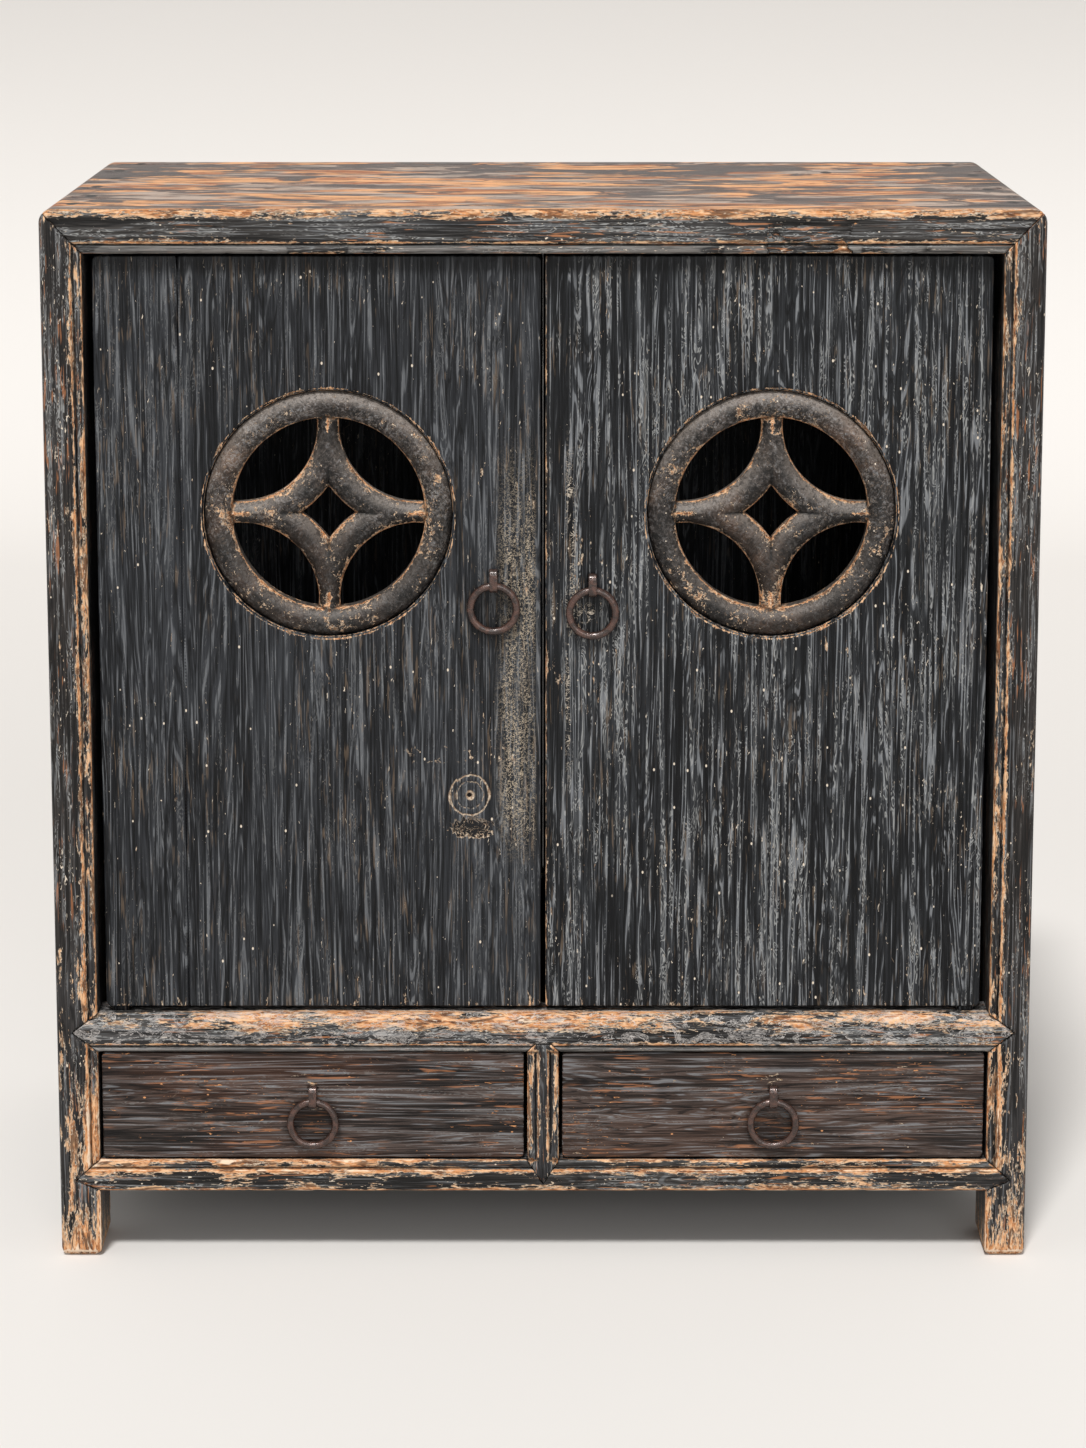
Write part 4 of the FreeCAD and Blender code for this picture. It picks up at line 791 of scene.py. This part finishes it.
def lock_marks(g, grain, colour, through, timber):
    """Left door: ring and hole of a lost lock plate, crazed lacquer beside the meeting edge."""
    x = g.times(g.minus(g.place(0), SCAR[0] * MM), 1 / MM)
    z = g.times(g.minus(g.place(2), SCAR[2] * MM), 1 / MM)
    wobble = g.times(g.minus(grain.lumps, 0.5), 9.0)
    radius = g.plus(g.length(x, z), wobble)
    outer = g.ease(grain.chips, 0.36, 0.46, 0.45, 0.9)
    outer = g.times(g.contour(radius, PLATE_RADIUS, 1.2), outer)
    inner = g.ease(grain.chips, 0.44, 0.54, 0.0, 0.55)
    inner = g.times(g.contour(radius, PLATE_INNER, 0.8), inner)
    rim = g.ease(radius, HOLE_RADIUS + 2.2, HOLE_RADIUS + 0.8)
    marks = g.most(g.most(outer, inner), rim)
    low = g.plus(z, PATCH_DROP)
    fan = g.plus(g.times(g.times(x, x), 0.0031), g.times(g.times(low, low), 0.011))
    fan = g.total((fan, 1.0), (grain.torn, 3.2), (grain.lumps, 2.4))
    fan = g.minus(fan, 0.5 * (3.2 + 2.4))
    edge = g.times(g.contour(fan, 1.0, 0.16), g.ease(low, 4, -4, 0.35, 1.0))
    torn = g.times(g.ease(fan, 1.0, 0.7), g.contour(grain.torn, 0.46, 0.02))
    torn = g.most(edge, torn)
    colour = g.mix(g.ease(fan, 1.05, 0.8), colour, linear(28, 28, 29))
    smear = g.times(g.ease(x, -64, -40), g.ease(x, 60, 24))
    smear = g.times(g.ease(g.size(g.minus(z, SMEAR_LEVEL)), 9, 4), smear)
    torn = g.most(torn, g.times(smear, g.ease(grain.torn, 0.6, 0.64)))
    marks = g.most(marks, torn)
    # crazing
    craze = grain.noise((400, 400, 400), 2, 0.5, 0.6)
    craze = g.contour(craze, 0.5, 0.05)
    strip = g.times(g.ease(x, 20, 36), g.ease(x, 60, 54))
    strip = g.times(strip, g.ease(z, -70, 0))
    strip = g.times(strip, g.ease(z, 330, 200))
    strip = g.times(strip, g.ease(grain.lumps, 0.34, 0.56, 0.25, 1.0))
    colour = g.mix(g.times(craze, strip), colour, linear(176, 162, 142))
    # painted shade: the hole drawn near-black for its depth
    hole = g.ease(radius, HOLE_RADIUS, HOLE_RADIUS - 0.8)
    colour = door_shadow(g, colour)
    through = g.most(through, marks)
    return g.mix(hole, colour, linear(8, 8, 8)), g.minus(through, hole), timber


def pull_marks(g, grain, colour, through, timber):
    """Right door: scratches behind the pull and a column of pale flecks beside it."""
    x = g.minus(g.place(0), SCRATCHES[0])
    z = g.minus(g.place(2), SCRATCHES[1])
    speckle = g.contour(grain.torn, 0.5, 0.03)
    scratch = g.times(g.ease(g.length(x, z), 0.011, 0.005), speckle)
    column = g.times(g.ease(g.place(0), 0.018, 0.022), g.ease(g.place(0), 0.03, 0.026))
    column = g.times(column, g.ease(g.size(z), 0.17, 0.1))
    flecks = g.times(speckle, g.ease(grain.lumps, 0.48, 0.54))
    marks = g.most(scratch, g.times(column, flecks))
    return g.mix(marks, door_shadow(g, colour), linear(196, 184, 168)), through, timber


def rail_marks(g, grain, colour, through, timber):
    """Middle rail: pale flakes with ragged rims along its nose."""
    level = g.times(g.ease(g.place(2), 0.19, 0.198), g.ease(g.place(2), 0.23, 0.224))
    spots = grain.noise((42, 95, 95), 4, 0.7, 1.2)
    flake = g.times(g.ease(spots, 0.54, 0.6), g.ease(grain.chips, 0.4, 0.52, 0.0, 0.5))
    rim = g.times(g.contour(spots, 0.53, 0.016), 0.7)
    share = g.times(level, g.most(flake, rim))
    pale = linear(206, 200, 196)
    return g.mix(share, colour, pale), through, g.mix(share, timber, pale)


def carving_blots_and_painted_light(g, grain, colour, through, timber):
    """Roundels: random blots, painted shade towards the bottom and in the hollows, painted light where they
    face up.
    """
    blot = g.ease(grain.noise((45, 45, 45), 3, 0.6, 0.8), 0.42, 0.6, 0.55, 1.2)
    # painted shade: darker lower down and lighter higher up, as light from above falls
    blots_and_painted_shade = g.times(blot, g.ease(g.place(2), 0.575, 0.74, 0.42, 1.15))
    # painted shade: darker in the hollows of the carving
    blots_and_painted_shade = g.times(blots_and_painted_shade, g.ease(g.place(1), -0.238, -0.2475, 0.5, 1.05))
    # painted light: paler on the faces that look upwards
    painted_top_light = g.times(g.facing_up(-0.1, 0.75), g.ease(grain.flakes, 0.36, 0.56, 0.2, 0.62))
    painted_top_light = g.times(painted_top_light, g.ease(g.place(2), 0.6, 0.7, 0.5, 1.0))
    colour = g.mix(painted_top_light, g.shaded(colour, blots_and_painted_shade), linear(152, 142, 134))
    return colour, through, timber


LACQUERS = {  # axis of the grain, seed and marks of each, and how it differs from LOOK
    "left_door": ((2, 1, lock_marks), dict(wear_width=1.3, wear_gain=0.85)),
    "right_door": ((2, 9, pull_marks), dict(
        light=linear(46, 48, 51), contrast=1.3, specks=0.7, wear_width=1.3, wear_gain=0.85,
        line_share=0.7, outline_share=0.75, haze_share=0.15)),
    "left_drawer": ((0, 2, drawer_ring_shadow), dict(**DRAWER_LOOK, haze=linear(128, 78, 50))),
    "right_drawer": ((0, 12, drawer_ring_shadow), dict(**DRAWER_LOOK, haze=linear(104, 76, 62))),
    "post": ((2, 3), dict(
        **FRAME_LOOK, light=linear(58, 54, 52), contrast=1.2, wear_width=2.4, wear_gain=1.02,
        outline_share=0.7, dash_share=0.5, dash_tint=linear(186, 124, 84))),
    "rail": ((0, 4, rail_marks), dict(
        **FRAME_LOOK, light=linear(66, 63, 61), contrast=1.3, wear_width=2.2, wear_gain=1.0,
        outline_share=0.85, dash_share=0.6, dash_tint=linear(196, 132, 88))),
    "top": ((0, 5), dict(wear_width=3.4, wear_gain=1.1, specks=0.6)),
    "roundel": ((3, 6, carving_blots_and_painted_light), dict(
        dark=linear(18, 16, 15), light=linear(78, 71, 67), haze=linear(104, 80, 64), haze_share=0.6,
        wear_width=2.2, wear_gain=1.0, specks=0.6, contrast=1.4, line_share=0.3,
        outline_share=0.35, gloss=0.3)),
    "side": ((2, 7), dict(wear_width=1.8, wear_gain=0.8)),
    "side_rail": ((1, 8), dict(wear_width=2.2, specks=0.7)),
}


def make_materials():
    """Every material of the cabinet."""
    mats = {key: lacquer(f"{key}_lacquer", *start, **changes) for key, (start, changes) in LACQUERS.items()}
    mats["bare_x"] = bare_wood("bare_timber_across", 0, 1)
    mats["bare_y"] = bare_wood("bare_timber_deep", 1, 2)
    mats["iron"] = iron("rusted_iron")
    return mats


# Where the lacquer is rubbed most


POST_BEAD, DIVIDER_BEAD = 397.7, 10.5
BEAD_FRONT = -254
DOOR_FRONT = -244
MIDDLE_RAIL = (185, 230)


def post_wear(points, normals):
    """Posts: rubbed along the bead, chipped at the foot, down the outer side and at the head."""
    x, y, z = points.T
    foot = ease(76, 8, z) * 0.5
    crest = bell(np.abs(x) - POST_BEAD, 2.6) * (y < -256) * ease(300, 420, z)
    low = ease(620, 120, z) * 0.26
    head = ease(880, 925, z) * ease(408, 424, np.abs(x)) * 0.5
    flaked = 0.3 * ease(0.0, 0.5, rough_noise(points, (12, 12, 60), 51, 3))
    front = ease(0.3, 0.8, -normals[:, 1])
    return foot + crest * 0.25 + (low + flaked) * (0.35 + 0.65 * front) + head + 0.04


def rail_wear(points, normals):
    """Middle rail: rubbed all along its nose, with a painted sheen along its lower bead. Top and bottom
    rails: along their beads, the top bead mostly a painted sheen.
    """
    x, y, z = points.T
    middle = (z > MIDDLE_RAIL[0]) & (z < MIDDLE_RAIL[1])
    crown = ease(201, 216, z) * ease(-240, -250, y) * middle
    handled = bell(x + 25, 170)
    crown *= 0.62 + 0.4 * handled + 0.75 * rough_noise(points, (60, 30, 20), 77, 3)
    # negative wear gives the lower bead a painted sheen, a pale highlight line, instead of bare timber
    lower_bead = ease(197, 193.5, z) * (y < -250) * -0.42 * middle
    patchy = rough_noise(points, (40, 20, 20), 31, 3)
    bottom_bead = ease(80.5, 83, z) * ease(95, 90, z) * (y < BEAD_FRONT) * (0.3 + 0.9 * patchy)
    bottom_face = (z < 82) * (y < BEAD_FRONT) * (0.3 + 0.3 * patchy)
    # mostly negative wear: a painted sheen along the top bead, with patches of real wear
    top_bead = ease(906, 903, z) * (z > 896) * (y < BEAD_FRONT) * (-0.46 + 0.5 * ease(0.2, 0.45, patchy))
    top_arris = ease(923, 931, z) * (y < -252) * 0.8
    return crown + lower_bead + bottom_bead + bottom_face + top_bead + top_arris + 0.04


def divider_wear(points, normals):
    """Divider: rubbed along both beads."""
    x, y, _ = points.T
    crest = bell(np.abs(x) - DIVIDER_BEAD, 2.4) * (y < -255)
    return crest * 0.5


def door_wear(points, normals):
    """Doors: rubbed round the pulls and the meeting stiles' feet."""
    x, y, z = points.T
    face = y < DOOR_FRONT
    handled = bell(np.abs(x) - 28, 26) * bell(z - 560, 150)
    foot = np.exp(-(z - 228) / 16)
    return face * (0.24 * handled + 0.34 * foot)


def roundel_wear(points, normals):
    """Roundels: rubbed on the crests of the ring and the ribs."""
    crest = ease(-245.5, -250, points[:, 1])
    return 0.2 + 0.1 * crest + 0.4 * rough_noise(points, (26, 26, 26), 15, 3)


def deep_relief(points, normals):
    """Carving of the roundels, deepened below its crests so that the mouldings stand up round."""
    moved = points.copy()
    moved[:, 1] = np.interp(points[:, 1], [-250, -240, -226], [-250, -236, -226])
    return moved


def drawer_wear(points, normals):
    """Drawer fronts: rubbed above the pulls and along the feet."""
    x, y, z = points.T
    face = y < -255
    pull = bell(np.abs(x) - 204, 16) * bell(z - 160, 12)
    foot = np.exp(-(z - 91) / 6)
    return face * (0.4 * pull + 0.3 * foot)


def knot_places(points):
    """Share inside the broken knot, ragged at its edges, and places turned along its torn fibres."""
    x, y, z = points.T
    ragged = rough_noise(points, (14, 30, 7), 91, 3)
    inside = ease(190, 193, x + 7 * ragged) * ease(262, 259, x + 9 * ragged)
    torn = np.column_stack([x + 2.6 * z, y, z - 0.34 * x])
    return inside * ease(926, 918, z + 3 * ragged), rough_noise(torn, (70, 40, 4.2), 97, 2), ragged


def gouge(points, normals):
    """Broken-out knot in the top rail: the bead lost, torn fibres slanting round a hollow."""
    x, y, z = points.T
    inside, fibres, ragged = knot_places(points)
    front = ease(-240, -252, y)
    lost = ease(908, 905, z + 2 * ragged) * (5.0 + 1.5 * ragged)
    around = np.hypot((x - 213) / 17, (z - 914) / 7.5)
    hollow = 6.0 * bell(around - 0.85, 0.3) * ease(918, 910, z + 0.15 * (x - 213))
    moved = points.copy()
    moved[:, 1] += front * inside * np.maximum(lost + 1.2 * fibres, np.maximum(1.8 + 2.4 * fibres, hollow))
    return moved


def knot_wear(points, normals):
    """Top rail: its own wear, but bare torn fibres in the knot and none on the lost bead."""
    x, _, z = points.T
    inside, fibres, _ = knot_places(points)
    chip = inside * ease(244, 256, x) * ease(916, 906, z)
    wear = rail_wear(points, normals) * (1 - inside) + inside * (0.6 * ease(-0.1, -0.5, fibres) - 0.2)
    return wear + 0.9 * chip


def gouge_focus(places):
    """Distance from the top rail's broken knot."""
    gap = np.maximum(np.abs(places - np.array([226, -256, 910])) - np.array([44, 12, 18]), 0)
    return np.linalg.norm(gap, axis=1)


def scar_focus(places):
    """Distance from the scar of a lost lock plate on the left door."""
    flat = places - SCAR
    return np.maximum(np.hypot(flat[:, 0], flat[:, 2]) - 22, 0) + np.abs(flat[:, 1])


def lock_scar(points, normals):
    """Rings and a hole left by a lost lock plate."""
    flat = points - SCAR
    radius = np.hypot(flat[:, 0], flat[:, 2])
    face = flat[:, 1] < 1.2
    depth = 0.7 * bell(radius - PLATE_RADIUS, 1.3)
    depth += 0.6 * bell(radius - PLATE_INNER, 1.1)
    depth += 3.0 * ease(HOLE_RADIUS + 0.8, HOLE_RADIUS - 0.6, radius)
    moved = points.copy()
    moved[:, 1] += depth * face
    return moved


# Pieces


def build_front(mats):
    """Everything that the photo shows."""
    for side, seed in (("left", 10), ("right", 40)):
        worn(f"front_{side}_post", mats["post"], 2.1, exposure=post_wear, nick=1.0, seed=seed)
        worn(f"{side}_drawer_front", mats[f"{side}_drawer"], 1.8, exposure=drawer_wear, nick=0.7,
             seed=seed + 1)
        worn(f"{side}_roundel", mats["roundel"], 1.5, 2.4, exposure=roundel_wear, shape=deep_relief,
             nick=0.5, seed=seed + 2, bow=0.5)
    worn("top_front_rail", mats["rail"], 1.7, exposure=knot_wear, shape=gouge, focus=gouge_focus, nick=1.1,
         seed=3)
    worn("mid_front_rail", mats["rail"], 1.9, 5, exposure=rail_wear, nick=1.2, seed=4, bow=0.5)
    worn("bottom_front_rail", mats["rail"], 1.9, exposure=rail_wear, nick=0.9, seed=5)
    worn("drawer_divider", mats["post"], 1.5, exposure=divider_wear, nick=0.7, seed=6)
    worn("left_door_board", mats["left_door"], 1.9, 12, exposure=door_wear, shape=lock_scar,
         focus=scar_focus, nick=0.7, seed=7)
    worn("left_door_hinge_strip", mats["left_door"], 1.9, 12, exposure=door_wear, nick=0.7, seed=8)
    worn("right_door_board", mats["right_door"], 1.9, 12, exposure=door_wear, nick=0.7, seed=9)
    worn("front_top_board", mats["top"], 2.2, 14, nick=0.9, seed=12)
    worn("rear_top_board", mats["top"], 2.2, 14, nick=0.9, seed=13)


def iron_wear(points, normals):
    """Iron rubbed on the outside of the ring and the crown of the strap."""
    return ease(0.2, 0.9, -normals[:, 1]) * 0.35


def build_iron(mats):
    """Rings and straps."""
    for name in ("left_door", "right_door", "left_drawer", "right_drawer"):
        worn(f"{name}_pull_ring", mats["iron"], 0.8, 0.9, exposure=iron_wear, nick=0.04, bow=0.06,
             rounding=0.5)
        worn(f"{name}_pull_strap", mats["iron"], 0.5, 1.4, exposure=iron_wear, nick=0.05, bow=0.04,
             rounding=0.7)
    paint("top_board_nails", mats["iron"])


def paint(node, material):
    """Keep a CAD node as it is, with its material."""
    item = frame["nodes"][node]
    item.data.materials.clear()
    item.data.materials.append(material)


def build_rest(mats):
    """Sides, back and inside."""
    settings = {
        "side": ["rear_left_post", "rear_right_post", "left_lower_panel", "right_lower_panel",
                 "left_upper_panel", "right_upper_panel", "left_back_board", "right_back_board"],
        "rail": ["top_rear_rail", "bottom_rear_rail", "mid_rear_rail", "lower_back_board"],
        "side_rail": [f"{side}_{level}_rail" for side in ("left", "right")
                       for level in ("bottom", "mid", "top")],
        "bare_x": ["compartment_floor", "left_door_upper_batten", "left_door_lower_batten",
                   "right_door_upper_batten", "right_door_lower_batten",
                   "left_drawer_back", "right_drawer_back", "left_drawer_bottom", "right_drawer_bottom"],
        "bare_y": ["left_drawer_runner", "right_drawer_runner", "centre_drawer_runner",
                   *[f"{s}_drawer_{w}_side" for s in ("left", "right") for w in ("outer", "inner")]],
    }
    for material, nodes in settings.items():
        for index, node in enumerate(nodes):
            worn(node, mats[material], 3.0, 24, nick=0.8, seed=60 + index)


# Stage, light and camera


def sweep(material):
    """Pale floor that curves up into a backdrop."""
    half, front, bend, radius, tall, steps = 9000, -7000, 3200, 1500, 6000, 16
    profile = [(front, 0), (bend, 0)]
    for step in range(1, steps + 1):
        angle = math.pi / 2 * step / steps
        profile.append((bend + radius * math.sin(angle), radius - radius * math.cos(angle)))
    profile.append((bend + radius, tall))
    points, faces = [], []
    for y, z in profile:
        points += [(-half, y, z), (half, y, z)]
    for row in range(len(profile) - 1):
        a = 2 * row
        faces += [(a, a + 1, a + 3), (a, a + 3, a + 2)]
    points = np.array(points, float)
    item = mesh_object("sweep", points, np.array(faces), {})
    item.data.materials.append(material)


def seen_directly(tree):
    """1 for rays of the eye, of mirrors and of glass, else 0."""
    path = tree.nodes.new("ShaderNodeLightPath")
    total = path.outputs["Is Camera Ray"]
    for name in ("Is Glossy Ray", "Is Transmission Ray"):
        both = tree.nodes.new("ShaderNodeMath")
        both.operation = "MAXIMUM"
        tree.links.new(total, both.inputs[0])
        tree.links.new(path.outputs[name], both.inputs[1])
        total = both.outputs[0]
    return total


def stage_material():
    """Matt paper, pale to the eye and a duller grey to the light that it throws back."""
    g = Graph("paper_sweep")
    mottle = g.noise((0.8, 0.8, 0.8), 2, 0.5, 0.0)
    ground = g.mix(mottle, linear(225, 222, 219), linear(228, 225, 222))
    ground = g.mix(g.ease(g.place(1), -0.3, 1.6), ground, linear(215, 212, 209))
    wall = g.mix(mottle, linear(187, 184, 181), linear(190, 187, 184))
    seen = g.mix(g.ease(g.place(2), 0.0, 1.4), ground, wall)
    colour = g.mix(seen_directly(g.tree), linear(190, 186, 182), seen)
    return g.surface(colour, 0.9, mottle, 0.0, gloss=0.1)


def sun_light(name, height, side, strength, softness, colour=(1, 1, 1)):
    """Far lamp at a height and a side angle, with a soft edge to its shadows."""
    light = bpy.data.lights.new(name, "SUN")
    light.energy = strength
    light.angle = math.radians(softness)
    light.color = colour
    item = bpy.data.objects.new(name, light)
    item.rotation_euler = (math.radians(90 - height), 0, math.radians(side))
    bpy.context.scene.collection.objects.link(item)
    return item


SKY_LIGHT = 0.4
SKY_SEEN = 0.8


def light_scene():
    """High soft key light from the front left, a low fill and a pale surround."""
    sun_light("key_light", 58, -12, 2.7, 9, (1.0, 0.99, 0.97))
    sun_light("fill_light", 16, 10, 0.75, 30)
    world = bpy.data.worlds.new("surround")
    bpy.context.scene.world = world
    world.use_nodes = True
    tree = world.node_tree
    background = tree.nodes["Background"]
    background.inputs["Color"].default_value = (1.0, 0.99, 0.975, 1)
    strength = tree.nodes.new("ShaderNodeMapRange")
    tree.links.new(seen_directly(tree), strength.inputs["Value"])
    strength.inputs["To Min"].default_value = SKY_LIGHT
    strength.inputs["To Max"].default_value = SKY_SEEN
    tree.links.new(strength.outputs["Result"], background.inputs["Strength"])


FRONT = -0.26
CAMERA_DISTANCE = 3.348
CAMERA_HEIGHT = 1.236
CAMERA_PITCH = 10.43
FOCAL_PIXELS = 3936
PHOTO_HEIGHT = 1448
SHIFT_PIXELS = 150


def make_camera():
    """Camera where the photo's straight lines put it."""
    data = bpy.data.cameras.new("camera")
    data.sensor_width = 36
    data.lens = FOCAL_PIXELS / PHOTO_HEIGHT * data.sensor_width
    data.shift_y = -SHIFT_PIXELS / PHOTO_HEIGHT
    data.clip_end = 100
    item = bpy.data.objects.new("camera", data)
    item.location = (0, FRONT - CAMERA_DISTANCE, CAMERA_HEIGHT)
    item.rotation_euler = (math.radians(90 - CAMERA_PITCH), 0, 0)
    bpy.context.scene.collection.objects.link(item)
    bpy.context.scene.camera = item


def main():
    """Build the whole scene."""
    mats = make_materials()
    build_front(mats)
    build_iron(mats)
    build_rest(mats)
    sweep(stage_material())
    light_scene()
    make_camera()
    bpy.context.scene.view_settings.view_transform = "Standard"


main()
